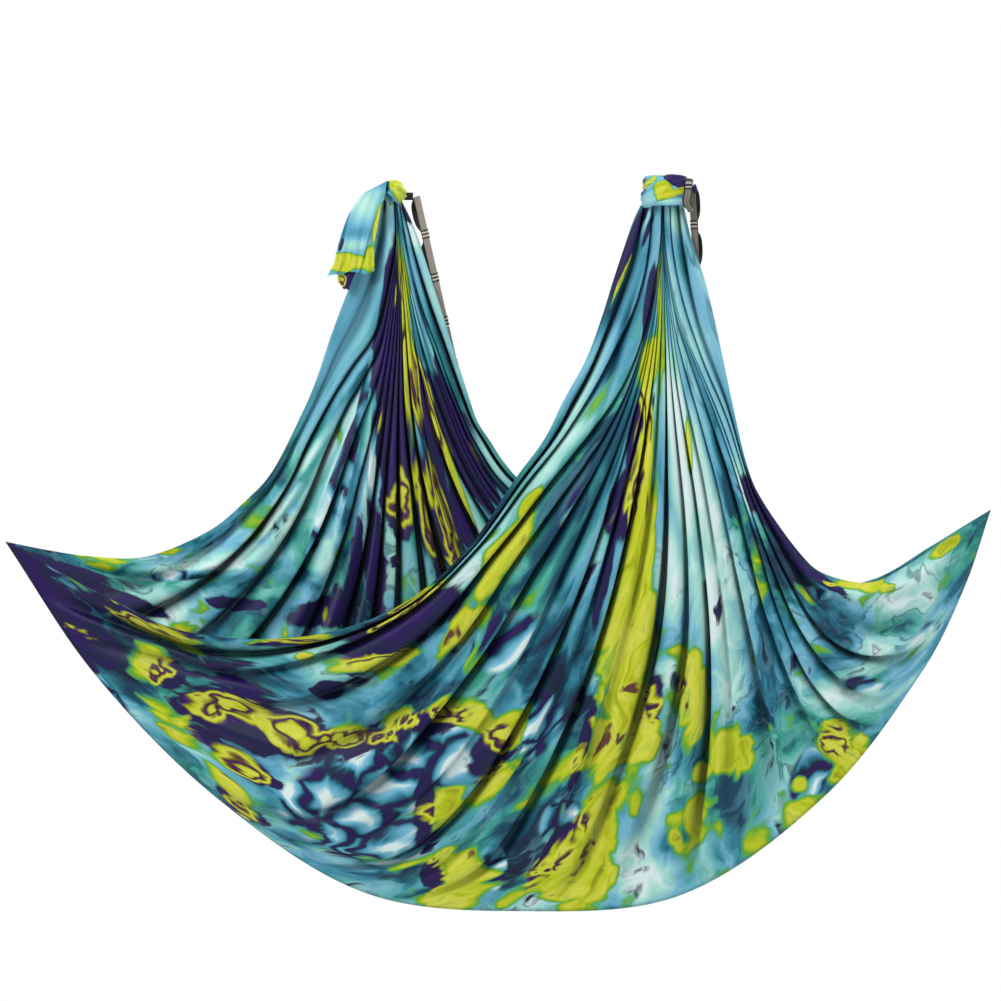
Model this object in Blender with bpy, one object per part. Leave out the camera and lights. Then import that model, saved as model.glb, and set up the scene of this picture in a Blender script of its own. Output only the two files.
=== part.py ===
"""Aerial hammock: one wide cloth hung by a knot at each end, with two daisy-chain straps.

Metres, +Z up. X runs across the hammock from tip to tip, Y into its depth. The origin is the
midpoint between the two knot eyes, the holes through which the hammock hangs and swings.
"""

import math

import bmesh
import bpy
from mathutils import Vector

# Driving dimensions of the cloth and of the way it hangs
SPREAD = 2.07               # from tip to tip
EYE_DEPTH = 0.25            # of each knot eye from the middle plane
SEAM_DEPTH = 0.0364         # of the cloth's lowest line from the middle plane
CLOTH_THICKNESS = 0.002
FOLD_DEPTH = 0.028          # of the main folds, either way
CLEARANCE = 0.0003          # between pieces that touch

# Knots: a core of gathered cloth with a turn of cloth round it
LEFT_CORE_RADIUS = 0.022
LEFT_CORE_TOP = 0.024
LEFT_CORE_BOTTOM = -0.030
LEFT_TURN_HEIGHT = 0.032
LEFT_TURN_BULK = 0.006
LEFT_TURN_MIDDLE = -0.004   # of a turn, from its knot's eye
LEFT_TURN_RISE = -0.012     # of a turn, from its start to its end
RIGHT_CORE_RADIUS = 0.040
RIGHT_CORE_TOP = 0.030
RIGHT_CORE_BOTTOM = -0.036
RIGHT_TURN_HEIGHT = 0.036
RIGHT_TURN_BULK = 0.016
RIGHT_TURN_MIDDLE = -0.0055
RIGHT_TURN_RISE = 0.035
RIGHT_LOW_TURN_HEIGHT = 0.012
RIGHT_LOW_TURN_BULK = 0.012
RIGHT_LOW_TURN_MIDDLE = -0.0285
RIGHT_LOW_TURN_RISE = 0.003
HANK_DEPTH = 0.015          # of the gathered cloth just under a knot, either way

# Webbing of the daisy chains
WEBBING_WIDTH = 0.016
WEBBING_THICKNESS = 0.0018
LOOP_PITCH = 0.094
LOOP_BULGE = 0.028
TACK_LENGTH = 0.020
TACK_THICKNESS = 0.0006
TACK_WIDTH = 0.014
ANCHOR_RADIUS = 0.007       # of the webbing rolled up in a knot eye
LEFT_STRAP_ASIDE = 0.0253   # from the side of its knot's core to a strap's middle
RIGHT_STRAP_ASIDE = 0.0104
LEFT_STRAP_BEHIND_EYE = 0.014
RIGHT_STRAP_BEHIND_EYE = 0.022
LEFT_STRAP_DROP = 0.0105    # of a strap's top below its eye
RIGHT_STRAP_DROP = -0.0063

# Free end of the cloth at the left knot
TAIL_FOLD_DEPTH = 0.007
TAIL_THICKNESS = 0.002

# Roughness of the surfaces
SHEET_ROUGHNESS = 0.45
KNOT_ROUGHNESS = 0.5
WEBBING_ROUGHNESS = 0.85
THREAD_ROUGHNESS = 0.7

# Counts
FOLDS = 8
STEPS_PER_FOLD = 4
SHEET_ROWS = 17
KNOT_SIDES = 24
TURN_SIDES = 10
TURN_STEPS = 20
DOME_STEPS = 4
SPINE_END_STEPS = 6
CURVE_STEPS = 12
SECTION_LOOPS = (3, 3, 2)
ROUND_ANGLE = math.radians(60)     # faces that meet at less are smooth
MERGE_SHARE = 0.001         # of a core's radius, within which its points are one
TAIL_COLUMNS = 9
TAIL_ROWS = 9

# Outlines are shares of a square frame as wide as the spread, measured from its top left corner
SPREAD_SHARE = 0.985
EYE_MIDDLE_SHARES = (0.530, 0.190)
LEFT_EYE_SHARE = 0.3935
RIGHT_EYE_SHARE = 0.6665

BOTTOM_SHARES = (
    (0.005, 0.541), (0.013, 0.560), (0.038, 0.597), (0.066, 0.638), (0.114, 0.696), (0.175, 0.760),
    (0.253, 0.827), (0.318, 0.870), (0.375, 0.896), (0.438, 0.915), (0.525, 0.910), (0.606, 0.901),
    (0.665, 0.900), (0.740, 0.860), (0.822, 0.797), (0.880, 0.741), (0.930, 0.655),
    (0.960, 0.596), (0.990, 0.509))

# Ribs run from a knot down to the lowest line. Each holds its share of the cloth's width and the
# places that it passes on the way.
FRONT_RIB_SHARES = (
    (0.00, ((0.632, 0.222), (0.623, 0.248), (0.6115, 0.283), (0.600, 0.320), (0.585, 0.360),
            (0.563, 0.400), (0.543, 0.440), (0.515, 0.478), (0.465, 0.550), (0.395, 0.607),
            (0.300, 0.636), (0.187, 0.631), (0.100, 0.593))),
    (0.12, ((0.632, 0.262), (0.612, 0.330), (0.590, 0.400), (0.558, 0.470), (0.510, 0.550),
            (0.440, 0.635), (0.352, 0.690), (0.270, 0.706), (0.190, 0.694))),
    (0.25, ((0.640, 0.300), (0.622, 0.400), (0.595, 0.500), (0.558, 0.600), (0.510, 0.690),
            (0.450, 0.765), (0.390, 0.812), (0.333, 0.832), (0.275, 0.824))),
    (0.38, ((0.650, 0.320), (0.638, 0.430), (0.618, 0.540), (0.588, 0.640), (0.548, 0.730),
            (0.498, 0.810), (0.440, 0.868))),
    (0.50, ((0.660, 0.330), (0.655, 0.450), (0.643, 0.560), (0.625, 0.660), (0.600, 0.760),
            (0.568, 0.850))),
    (0.62, ((0.668, 0.330), (0.672, 0.450), (0.678, 0.560), (0.684, 0.660), (0.688, 0.760),
            (0.685, 0.840))),
    (0.75, ((0.678, 0.330), (0.692, 0.430), (0.712, 0.530), (0.738, 0.620), (0.770, 0.700),
            (0.800, 0.765))),
    (0.87, ((0.690, 0.320), (0.712, 0.420), (0.740, 0.510), (0.775, 0.600), (0.815, 0.660),
            (0.860, 0.688), (0.895, 0.687))),
    (0.94, ((0.698, 0.320), (0.722, 0.410), (0.748, 0.500), (0.785, 0.578), (0.825, 0.630),
            (0.870, 0.645), (0.918, 0.628))),
    (1.00, ((0.690, 0.240), (0.703, 0.280), (0.714, 0.325), (0.732, 0.409), (0.746, 0.467),
            (0.762, 0.502), (0.798, 0.552), (0.823, 0.573), (0.866, 0.582), (0.900, 0.568),
            (0.948, 0.537))))

BACK_RIB_SHARES = (
    (0.00, ((0.362, 0.270), (0.345, 0.300), (0.330, 0.335), (0.315, 0.380), (0.300, 0.415),
            (0.272, 0.470), (0.245, 0.500), (0.207, 0.531), (0.146, 0.556), (0.093, 0.556),
            (0.050, 0.550))),
    (0.12, ((0.370, 0.290), (0.350, 0.360), (0.330, 0.430), (0.300, 0.500), (0.262, 0.560),
            (0.215, 0.610), (0.160, 0.650))),
    (0.25, ((0.380, 0.300), (0.372, 0.400), (0.355, 0.490), (0.330, 0.580), (0.300, 0.660),
            (0.262, 0.740))),
    (0.38, ((0.388, 0.300), (0.388, 0.420), (0.386, 0.540), (0.383, 0.660), (0.378, 0.780))),
    (0.50, ((0.396, 0.300), (0.405, 0.420), (0.425, 0.540), (0.455, 0.660), (0.490, 0.790))),
    (0.62, ((0.403, 0.300), (0.420, 0.420), (0.450, 0.530), (0.505, 0.640), (0.575, 0.750),
            (0.635, 0.840))),
    (0.75, ((0.409, 0.290), (0.425, 0.370), (0.447, 0.440), (0.480, 0.506), (0.535, 0.580),
            (0.615, 0.655), (0.710, 0.722))),
    (0.87, ((0.416, 0.290), (0.434, 0.350), (0.451, 0.405), (0.470, 0.456), (0.498, 0.502),
            (0.550, 0.552), (0.635, 0.606), (0.740, 0.644), (0.845, 0.665))),
    (0.94, ((0.423, 0.290), (0.442, 0.350), (0.4585, 0.400), (0.476, 0.441), (0.500, 0.480),
            (0.545, 0.521), (0.618, 0.566), (0.715, 0.602), (0.800, 0.618), (0.880, 0.611))),
    (1.00, ((0.416, 0.233), (0.432, 0.282), (0.451, 0.342), (0.4685, 0.397), (0.477, 0.421),
            (0.490, 0.441), (0.503, 0.461), (0.522, 0.482), (0.560, 0.510), (0.625, 0.547),
            (0.710, 0.576), (0.800, 0.588), (0.872, 0.579), (0.928, 0.547), (0.957, 0.529))))

# How deep the folds are along a rib, and how far the cloth still hangs under its own knot
FOLD_DEPTH_SHARES = ((0.0, 0.0), (0.12, 0.8), (0.40, 1.0), (0.70, 0.7), (0.92, 0.22), (1.0, 0.0))
BELLY_EXPONENT = 1.8

# Loop of a daisy chain: share of its length, share of its bulge
LOOP_SHARES = ((0.0, 0.0), (0.07, 0.42), (0.18, 0.78), (0.34, 0.97), (0.50, 1.0), (0.66, 0.97),
               (0.82, 0.78), (0.93, 0.42), (1.0, 0.0))
LOOP_LEAD_SHARE = 0.05      # flat webbing above the first loop, of a pitch

# Free end: left and right edges from top to bottom
TAIL_LEFT_SHARES = ((0.364, 0.184), (0.356, 0.205), (0.345, 0.230), (0.334, 0.256), (0.326, 0.281))
TAIL_RIGHT_SHARES = ((0.394, 0.184), (0.390, 0.202), (0.384, 0.228), (0.379, 0.254), (0.375, 0.276))
TAIL_PIVOT_SHARES = (0.372, 0.188)
TAIL_FOLDS = 3

# Straps: how they are turned and lean
LEFT_STRAP_TURN = math.radians(20)
RIGHT_STRAP_TURN = math.radians(-15)
LEFT_STRAP_LEAN = math.radians(13.5)
RIGHT_STRAP_LEAN = math.radians(1)
LEFT_STRAP_TILT = 0
RIGHT_STRAP_TILT = math.radians(8)

# Where each turn of cloth starts and ends, round its knot from +X
LEFT_TURN_ARC = (math.radians(52), math.radians(332))
RIGHT_TURN_ARC = (math.radians(110), math.radians(336))
RIGHT_LOW_TURN_ARC = (math.radians(232), math.radians(336))

# Colours
FRONT_COLOUR = (0.10, 0.42, 0.55)
BACK_COLOUR = (0.22, 0.50, 0.60)
TAIL_COLOUR = (0.16, 0.45, 0.50)
LIME_COLOUR = (0.60, 0.75, 0.03)
NAVY_COLOUR = (0.03, 0.10, 0.30)
TEAL_COLOUR = (0.08, 0.35, 0.45)
OLIVE_COLOUR = (0.45, 0.55, 0.10)
PALE_COLOUR = (0.30, 0.60, 0.65)
LEFT_SPINE_COLOUR = (0.36, 0.32, 0.28)
RIGHT_SPINE_COLOUR = (0.20, 0.19, 0.15)
BLACK_COLOUR = (0.015, 0.015, 0.017)

frame_side = SPREAD / SPREAD_SHARE


def place(shares):
    """World x and z of a place that is given in shares of the frame."""
    across, down = shares
    middle_across, middle_down = EYE_MIDDLE_SHARES
    return (across - middle_across) * frame_side, (middle_down - down) * frame_side


def clear_scene():
    for thing in list(bpy.data.objects):
        bpy.data.objects.remove(thing, do_unlink=True)


def material(name, colour, roughness):
    mat = bpy.data.materials.new(name)
    mat.use_nodes = True
    shader = mat.node_tree.nodes["Principled BSDF"]
    shader.inputs["Base Color"].default_value = (*colour, 1)
    shader.inputs["Roughness"].default_value = roughness
    shader.inputs["Metallic"].default_value = 0
    return mat


def joint_empty(name, location, parent=None):
    """An empty on a joint's axis. The pieces that the joint moves are parented to it."""
    empty = bpy.data.objects.new(name, None)
    bpy.context.collection.objects.link(empty)
    world = Vector(location)
    empty["world"] = tuple(world)
    if parent:
        empty.parent = parent
        world = world - Vector(parent["world"])
    empty.location = world
    return empty


def add_piece(name, bm, joint, colour, roughness, smooth_angle=None):
    """Turn a bmesh in world coordinates into an object whose origin is on its joint."""
    if joint:
        bmesh.ops.translate(bm, verts=bm.verts, vec=-Vector(joint["world"]))
    bmesh.ops.triangulate(bm, faces=[face for face in bm.faces if len(face.verts) > 4])
    mesh = bpy.data.meshes.new(name)
    bm.to_mesh(mesh)
    bm.free()
    if smooth_angle:
        mesh.shade_smooth()
        mesh.set_sharp_from_angle(angle=smooth_angle)
    piece = bpy.data.objects.new(name, mesh)
    bpy.context.collection.objects.link(piece)
    piece.parent = joint
    mesh.materials.append(material(name, colour, roughness))
    return piece


def table_value(table, at):
    """Straight-line reading of a table of (place, value) pairs."""
    for (low, low_value), (high, high_value) in zip(table, table[1:]):
        if at <= high:
            return low_value + (high_value - low_value) * (at - low) / (high - low)
    return table[-1][1]


def curve_through(points):
    """Dense points on a Catmull-Rom curve through the given (x, z) points."""
    points = [Vector(point) for point in points]
    ends = [2 * points[0] - points[1]] + points + [2 * points[-1] - points[-2]]
    dense = [points[0]]
    for before, start, end, after in zip(ends, ends[1:], ends[2:], ends[3:]):
        for step in range(1, CURVE_STEPS + 1):
            t = step / CURVE_STEPS
            dense.append(0.5 * (2 * start + (end - before) * t
                                + (2 * before - 5 * start + 4 * end - after) * t ** 2
                                + (3 * start - before - 3 * end + after) * t ** 3))
    return dense


def even_points(dense, fractions):
    """Points at the given fractions of a dense curve's length."""
    lengths = [0]
    for start, end in zip(dense, dense[1:]):
        lengths.append(lengths[-1] + (end - start).length)
    found = []
    segment = 0
    for fraction in fractions:
        goal = fraction * lengths[-1]
        while segment < len(dense) - 2 and lengths[segment + 1] < goal:
            segment += 1
        span = lengths[segment + 1] - lengths[segment]
        found.append(dense[segment].lerp(dense[segment + 1], (goal - lengths[segment]) / span))
    return found


def across_ribs(ribs, row, at):
    """Point at a share of the cloth's width, on a smooth curve across the ribs at one row."""
    index = 0
    while index < len(ribs) - 2 and ribs[index + 1][0] < at:
        index += 1

    def slope(middle):
        low = max(middle - 1, 0)
        high = min(middle + 1, len(ribs) - 1)
        return (ribs[high][1][row] - ribs[low][1][row]) / (ribs[high][0] - ribs[low][0])

    start, end = ribs[index], ribs[index + 1]
    span = end[0] - start[0]
    t = (at - start[0]) / span
    return ((2 * t ** 3 - 3 * t ** 2 + 1) * start[1][row] + (t ** 3 - 2 * t ** 2 + t) * span * slope(index)
            + (3 * t ** 2 - 2 * t ** 3) * end[1][row] + (t ** 3 - t ** 2) * span * slope(index + 1))


def slab(bm, grid, thickness_way):
    """Closed sheet: a grid of points, and the same grid moved by one vector."""
    near = [[bm.verts.new(point) for point in row] for row in grid]
    far = [[bm.verts.new(point + thickness_way) for point in row] for row in grid]
    rows, columns = len(grid), len(grid[0])

    def strip(a, b, c, d):
        bm.faces.new((a, b, c))
        bm.faces.new((a, c, d))

    for i in range(rows - 1):
        for j in range(columns - 1):
            strip(near[i][j], near[i + 1][j], near[i + 1][j + 1], near[i][j + 1])
            far_corners = (far[i][j], far[i + 1][j], far[i + 1][j + 1], far[i][j + 1])
            bm.faces.new((far_corners[2], far_corners[1], far_corners[0]))
            bm.faces.new((far_corners[3], far_corners[2], far_corners[0]))
    border = [(i, 0) for i in range(rows)] + [(rows - 1, j) for j in range(1, columns)]
    border += [(i, columns - 1) for i in range(rows - 2, -1, -1)] + [(0, j) for j in range(columns - 2, 0, -1)]
    for (i, j), (k, l) in zip(border, border[1:] + border[:1]):
        strip(near[k][l], near[i][j], far[i][j], far[k][l])
    bmesh.ops.recalc_face_normals(bm, faces=bm.faces)


def sheet_grid(rib_table, eye, neck_radius, neck_bottom, side):
    """Points of one half of the cloth. side is -1 on the near half and 1 on the far one."""
    rows = [row / (SHEET_ROWS - 1) for row in range(SHEET_ROWS)]
    bottom = curve_through([place(point) for point in BOTTOM_SHARES])
    ribs = []
    for share, passes in rib_table:
        top = Vector((eye.x + (2 * share - 1) * neck_radius, neck_bottom - CLEARANCE))
        foot = even_points(bottom, [share])[0]
        route = [top] + [place(point) for point in passes] + [foot]
        ribs.append((share, even_points(curve_through(route), rows)))
    columns = FOLDS * STEPS_PER_FOLD
    fold_way = (0, 1, 0, -1)
    grid = []
    for row, down in enumerate(rows):
        hang = 1 - down ** BELLY_EXPONENT
        depth = FOLD_DEPTH * table_value(FOLD_DEPTH_SHARES, down)
        top_blend = max(0, 1 - down * (SHEET_ROWS - 1))
        depth += (HANK_DEPTH - depth) * top_blend
        line = []
        for column in range(columns + 1):
            flat = across_ribs(ribs, row, column / columns)
            fold = depth * fold_way[column % STEPS_PER_FOLD]
            seam = SEAM_DEPTH + side * CLEARANCE / 2
            y = seam + hang * (eye.y - seam) + fold
            line.append(Vector((flat.x, y, flat.y)))
        grid.append(line)
    return grid


def add_sheet(name, rib_table, eye, neck_radius, neck_bottom, side, joint, colour):
    bm = bmesh.new()
    grid = sheet_grid(rib_table, eye, neck_radius, neck_bottom, side)
    slab(bm, grid, Vector((0, side * CLOTH_THICKNESS, 0)))
    add_piece(name, bm, joint, colour, SHEET_ROUGHNESS, ROUND_ANGLE)


def add_core(name, eye, radius, top, bottom, joint, colour):
    """Gathered cloth inside a knot, with the eye through it and a flat end over the hank."""
    bm = bmesh.new()
    shoulder = top - radius / 2
    outline = [(0, bottom), (radius, bottom), (radius, shoulder)]
    for step in range(1, DOME_STEPS):
        angle = math.pi / 2 * step / DOME_STEPS
        outline.append((radius * math.cos(angle), shoulder + (top - shoulder) * math.sin(angle)))
    outline.append((0, top))
    verts = [bm.verts.new((eye.x + r, eye.y, eye.z + z)) for r, z in outline]
    edges = [bm.edges.new(pair) for pair in zip(verts, verts[1:])]
    bmesh.ops.spin(bm, geom=verts + edges, cent=eye, axis=(0, 0, 1), angle=math.tau,
                   steps=KNOT_SIDES, use_merge=True)
    bmesh.ops.remove_doubles(bm, verts=bm.verts, dist=radius * MERGE_SHARE)
    bmesh.ops.recalc_face_normals(bm, faces=bm.faces)
    core = add_piece(name, bm, joint, colour, KNOT_ROUGHNESS, ROUND_ANGLE)
    cutter = add_bore_cutter(name + "_eye_cutter", eye, radius, joint)
    cut = core.modifiers.new("eye", "BOOLEAN")
    cut.operation = "DIFFERENCE"
    cut.solver = "EXACT"
    cut.object = cutter


def round_bar(bm, centre, axis, radius, length, sides):
    turn = axis.to_track_quat("Z", "Y").to_matrix().to_4x4()
    turn.translation = centre
    bmesh.ops.create_cone(bm, cap_ends=True, segments=sides, radius1=radius, radius2=radius,
                          depth=length, matrix=turn)


def add_bore_cutter(name, eye, core_radius, joint):
    bm = bmesh.new()
    length = 3 * core_radius
    round_bar(bm, eye, swing_axis, ANCHOR_RADIUS + CLEARANCE, length, KNOT_SIDES)
    cutter = add_piece(name, bm, joint, BLACK_COLOUR, KNOT_ROUGHNESS)
    cutter.hide_render = True
    cutter.display_type = "WIRE"
    return cutter


def add_anchor(name, eye, core_radius, colour):
    """Rolled webbing in a knot's eye. It carries the knot, and the knot turns on it."""
    bm = bmesh.new()
    half_length = math.sqrt(core_radius ** 2 - ANCHOR_RADIUS ** 2) - CLEARANCE
    round_bar(bm, eye, swing_axis, ANCHOR_RADIUS, 2 * half_length, KNOT_SIDES)
    add_piece(name, bm, None, colour, WEBBING_ROUGHNESS, ROUND_ANGLE)


def add_turn(name, eye, core_radius, height, bulk, middle, rise, arc, joint, colour):
    """A turn of cloth round a knot's core: one rounded band that rises as it goes round."""
    bm = bmesh.new()
    centre_radius = core_radius + CLEARANCE + bulk / 2
    start, end = arc
    rings = []
    for step in range(TURN_STEPS + 1):
        share = step / TURN_STEPS
        angle = start + (end - start) * share
        level = middle + rise * (share - 1 / 2)
        ring = []
        for side in range(TURN_SIDES):
            around = math.tau * side / TURN_SIDES
            reach = centre_radius + bulk / 2 * math.cos(around)
            ring.append(bm.verts.new((eye.x + reach * math.cos(angle), eye.y + reach * math.sin(angle),
                                      eye.z + level + height / 2 * math.sin(around))))
        rings.append(ring)
    for ring, after in zip(rings, rings[1:]):
        for side in range(TURN_SIDES):
            beside = (side + 1) % TURN_SIDES
            bm.faces.new((ring[side], ring[beside], after[beside], after[side]))
    bm.faces.new(rings[0])
    bm.faces.new(rings[-1])
    bmesh.ops.recalc_face_normals(bm, faces=bm.faces)
    add_piece(name, bm, joint, colour, KNOT_ROUGHNESS, ROUND_ANGLE)


class StrapFrame:
    """Axes of a strap: down its length, across its width, and out of its plain face."""

    def __init__(self, top, turn, lean, tilt):
        level_width = Vector((math.cos(turn), math.sin(turn), 0))
        face = Vector((math.sin(turn), -math.cos(turn), 0))
        down = level_width * math.sin(lean) - Vector((0, 0, 1)) * math.cos(lean)
        self.top = Vector(top)
        self.width = level_width * math.cos(lean) + Vector((0, 0, 1)) * math.sin(lean)
        self.down = down * math.cos(tilt) - face * math.sin(tilt)
        self.face = face * math.cos(tilt) + down * math.sin(tilt)

    def point(self, along, out, across):
        return self.top + self.down * along + self.face * out + self.width * across


def add_strip(name, strap, outline, width, joint, colour, roughness):
    """An outline drawn along the strap and out of its face, drawn out over the webbing's width."""
    bm = bmesh.new()
    verts = [bm.verts.new(strap.point(along, out, -width / 2)) for along, out in outline]
    face = bm.faces.new(verts)
    moved = bmesh.ops.extrude_face_region(bm, geom=[face])["geom"]
    fresh = [item for item in moved if isinstance(item, bmesh.types.BMVert)]
    bmesh.ops.translate(bm, verts=fresh, vec=strap.width * width)
    bmesh.ops.recalc_face_normals(bm, faces=bm.faces)
    add_piece(name, bm, joint, colour, roughness)


def spine_outline(start, end):
    """Plain webbing with a round upper end that turns against the flat end above it."""
    half = WEBBING_THICKNESS / 2
    outline = [(end, half), (end, -half)]
    for step in range(SPINE_END_STEPS + 1):
        angle = math.pi * step / SPINE_END_STEPS
        outline.append((start - half * math.sin(angle), -half * math.cos(angle)))
    return outline


def loop_outline(start, loops):
    """Webbing that stands off in loops and is flat on the spine between them."""
    middle = -(WEBBING_THICKNESS + CLEARANCE)
    lead = LOOP_PITCH * LOOP_LEAD_SHARE
    free = LOOP_PITCH - lead - TACK_LENGTH
    line = [Vector((start + WEBBING_THICKNESS, middle))]
    for loop in range(loops):
        base = start + loop * LOOP_PITCH + lead
        for along, out in LOOP_SHARES:
            line.append(Vector((base + along * free, middle - out * LOOP_BULGE)))
    line.append(Vector((start + loops * LOOP_PITCH - WEBBING_THICKNESS, middle)))
    inner, outer = [], []
    for index, point in enumerate(line):
        before = line[max(index - 1, 0)]
        after = line[min(index + 1, len(line) - 1)]
        way_in = (point - before).normalized() if index else (after - point).normalized()
        way_out = (after - point).normalized() if index < len(line) - 1 else way_in
        mitre = (way_in + way_out).normalized()
        normal = Vector((-mitre.y, mitre.x))
        reach = WEBBING_THICKNESS / 2 / max(mitre.dot(way_in), 1 / 2)
        inner.append(point + normal * reach)
        outer.append(point - normal * reach)
    return [tuple(point) for point in inner + outer[::-1]]


def plate_outline(start, end, low, high):
    return [(start, low), (end, low), (end, high), (start, high)]


def add_strap(side, top, eye, core_radius, turn, lean, tilt, joint, spine_colour, loop_colour):
    """One daisy chain: its lead out of the knot, and three sections that fold on each other."""
    strap = StrapFrame(top, turn, lean, tilt)
    lead_end = -WEBBING_WIDTH / 2 - CLEARANCE
    to_eye = Vector((eye.x - strap.top.x, eye.y - strap.top.y, 0))
    level_width = Vector((strap.width.x, strap.width.y, 0)).normalized()
    along = -to_eye.dot(level_width)
    aside = max((to_eye + level_width * along).length - WEBBING_THICKNESS / 2, 0)
    core_edge = along - math.sqrt(core_radius ** 2 - aside ** 2) - CLEARANCE
    bm = bmesh.new()
    half_height = Vector((0, 0, WEBBING_WIDTH / 2))
    half_bulk = Vector((-level_width.y, level_width.x, 0)) * WEBBING_THICKNESS / 2
    corners = []
    for reach in (lead_end, -core_edge):
        base = strap.top + level_width * reach
        corners.append([bm.verts.new(base + a * half_height + b * half_bulk)
                        for a, b in ((-1, -1), (1, -1), (1, 1), (-1, 1))])
    for index in range(4):
        beside = (index + 1) % 4
        bm.faces.new((corners[0][index], corners[0][beside], corners[1][beside], corners[1][index]))
    bm.faces.new(corners[0])
    bm.faces.new(corners[1])
    bmesh.ops.recalc_face_normals(bm, faces=bm.faces)
    add_piece(side + "_strap_lead", bm, joint, spine_colour, WEBBING_ROUGHNESS)

    start = 0
    tack = 0
    carrier = joint
    end_clearance = WEBBING_THICKNESS / 2 + CLEARANCE
    for part, loops in zip(("upper", "middle", "lower"), SECTION_LOOPS):
        end = start + loops * LOOP_PITCH
        pivot = strap.point(start, 0, 0)
        carrier = joint_empty(side + "_strap_" + part + "_axis", pivot, carrier)
        add_strip(side + "_strap_" + part, strap, spine_outline(start, end - end_clearance),
                  WEBBING_WIDTH, carrier, spine_colour, WEBBING_ROUGHNESS)
        add_strip(side + "_loops_" + part, strap, loop_outline(start, loops),
                  WEBBING_WIDTH, carrier, loop_colour, WEBBING_ROUGHNESS)
        for loop in range(loops):
            tack += 1
            tack_end = start + (loop + 1) * LOOP_PITCH - 2 * end_clearance
            low = WEBBING_THICKNESS / 2 + CLEARANCE
            add_strip(side + "_bar_tack_" + str(tack), strap,
                      plate_outline(tack_end - TACK_LENGTH, tack_end, low, low + TACK_THICKNESS),
                      TACK_WIDTH, carrier, BLACK_COLOUR, THREAD_ROUGHNESS)
        start = end


def add_tail(joint, eye, colour):
    """The cloth's free end, hanging in front of the left hank with its own small folds."""
    left = curve_through([place(point) for point in TAIL_LEFT_SHARES])
    right = curve_through([place(point) for point in TAIL_RIGHT_SHARES])
    rows = [row / (TAIL_ROWS - 1) for row in range(TAIL_ROWS)]
    back = eye.y - LEFT_CORE_RADIUS - CLEARANCE - LEFT_TURN_BULK - CLEARANCE
    grid = []
    for down, low, high in zip(rows, even_points(left, rows), even_points(right, rows)):
        line = []
        for column in range(TAIL_COLUMNS):
            share = column / (TAIL_COLUMNS - 1)
            flat = low.lerp(high, share)
            fold = TAIL_FOLD_DEPTH * down * (1 - math.cos(math.tau * TAIL_FOLDS * share)) / 2
            line.append(Vector((flat.x, back - TAIL_THICKNESS - fold, flat.y)))
        grid.append(line)
    bm = bmesh.new()
    slab(bm, grid, Vector((0, TAIL_THICKNESS, 0)))
    add_piece("left_knot_tail", bm, joint, colour, SHEET_ROUGHNESS, ROUND_ANGLE)


clear_scene()
left_eye = Vector((place((LEFT_EYE_SHARE, EYE_MIDDLE_SHARES[1]))[0], EYE_DEPTH, 0))
right_eye = Vector((place((RIGHT_EYE_SHARE, EYE_MIDDLE_SHARES[1]))[0], -EYE_DEPTH, 0))
swing_axis = (right_eye - left_eye).normalized()
swing = joint_empty("hammock_swing_axis", (0, 0, 0))

add_anchor("left_anchor_webbing", left_eye, LEFT_CORE_RADIUS, BLACK_COLOUR)
add_anchor("right_anchor_webbing", right_eye, RIGHT_CORE_RADIUS, BLACK_COLOUR)

add_sheet("front_sheet", FRONT_RIB_SHARES, right_eye, RIGHT_CORE_RADIUS - CLEARANCE,
          RIGHT_CORE_BOTTOM, -1, swing, FRONT_COLOUR)
add_sheet("back_sheet", BACK_RIB_SHARES, left_eye, LEFT_CORE_RADIUS - CLEARANCE,
          LEFT_CORE_BOTTOM, 1, swing, BACK_COLOUR)

add_core("left_knot", left_eye, LEFT_CORE_RADIUS, LEFT_CORE_TOP, LEFT_CORE_BOTTOM, swing, NAVY_COLOUR)
add_turn("left_knot_turn", left_eye, LEFT_CORE_RADIUS, LEFT_TURN_HEIGHT, LEFT_TURN_BULK,
         LEFT_TURN_MIDDLE, LEFT_TURN_RISE, LEFT_TURN_ARC, swing, LIME_COLOUR)
add_core("right_knot", right_eye, RIGHT_CORE_RADIUS, RIGHT_CORE_TOP, RIGHT_CORE_BOTTOM, swing, TEAL_COLOUR)
add_turn("right_knot_turn", right_eye, RIGHT_CORE_RADIUS, RIGHT_TURN_HEIGHT, RIGHT_TURN_BULK,
         RIGHT_TURN_MIDDLE, RIGHT_TURN_RISE, RIGHT_TURN_ARC, swing, OLIVE_COLOUR)
add_turn("right_knot_low_turn", right_eye, RIGHT_CORE_RADIUS, RIGHT_LOW_TURN_HEIGHT, RIGHT_LOW_TURN_BULK,
         RIGHT_LOW_TURN_MIDDLE, RIGHT_LOW_TURN_RISE, RIGHT_LOW_TURN_ARC, swing, PALE_COLOUR)

left_top = left_eye + Vector((LEFT_CORE_RADIUS + LEFT_STRAP_ASIDE, LEFT_STRAP_BEHIND_EYE, -LEFT_STRAP_DROP))
right_top = right_eye + Vector((RIGHT_CORE_RADIUS + RIGHT_STRAP_ASIDE, RIGHT_STRAP_BEHIND_EYE, -RIGHT_STRAP_DROP))
add_strap("left", left_top, left_eye, LEFT_CORE_RADIUS, LEFT_STRAP_TURN, LEFT_STRAP_LEAN, LEFT_STRAP_TILT,
          swing, LEFT_SPINE_COLOUR, BLACK_COLOUR)
add_strap("right", right_top, right_eye, RIGHT_CORE_RADIUS, RIGHT_STRAP_TURN, RIGHT_STRAP_LEAN,
          RIGHT_STRAP_TILT, swing, RIGHT_SPINE_COLOUR, BLACK_COLOUR)

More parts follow.
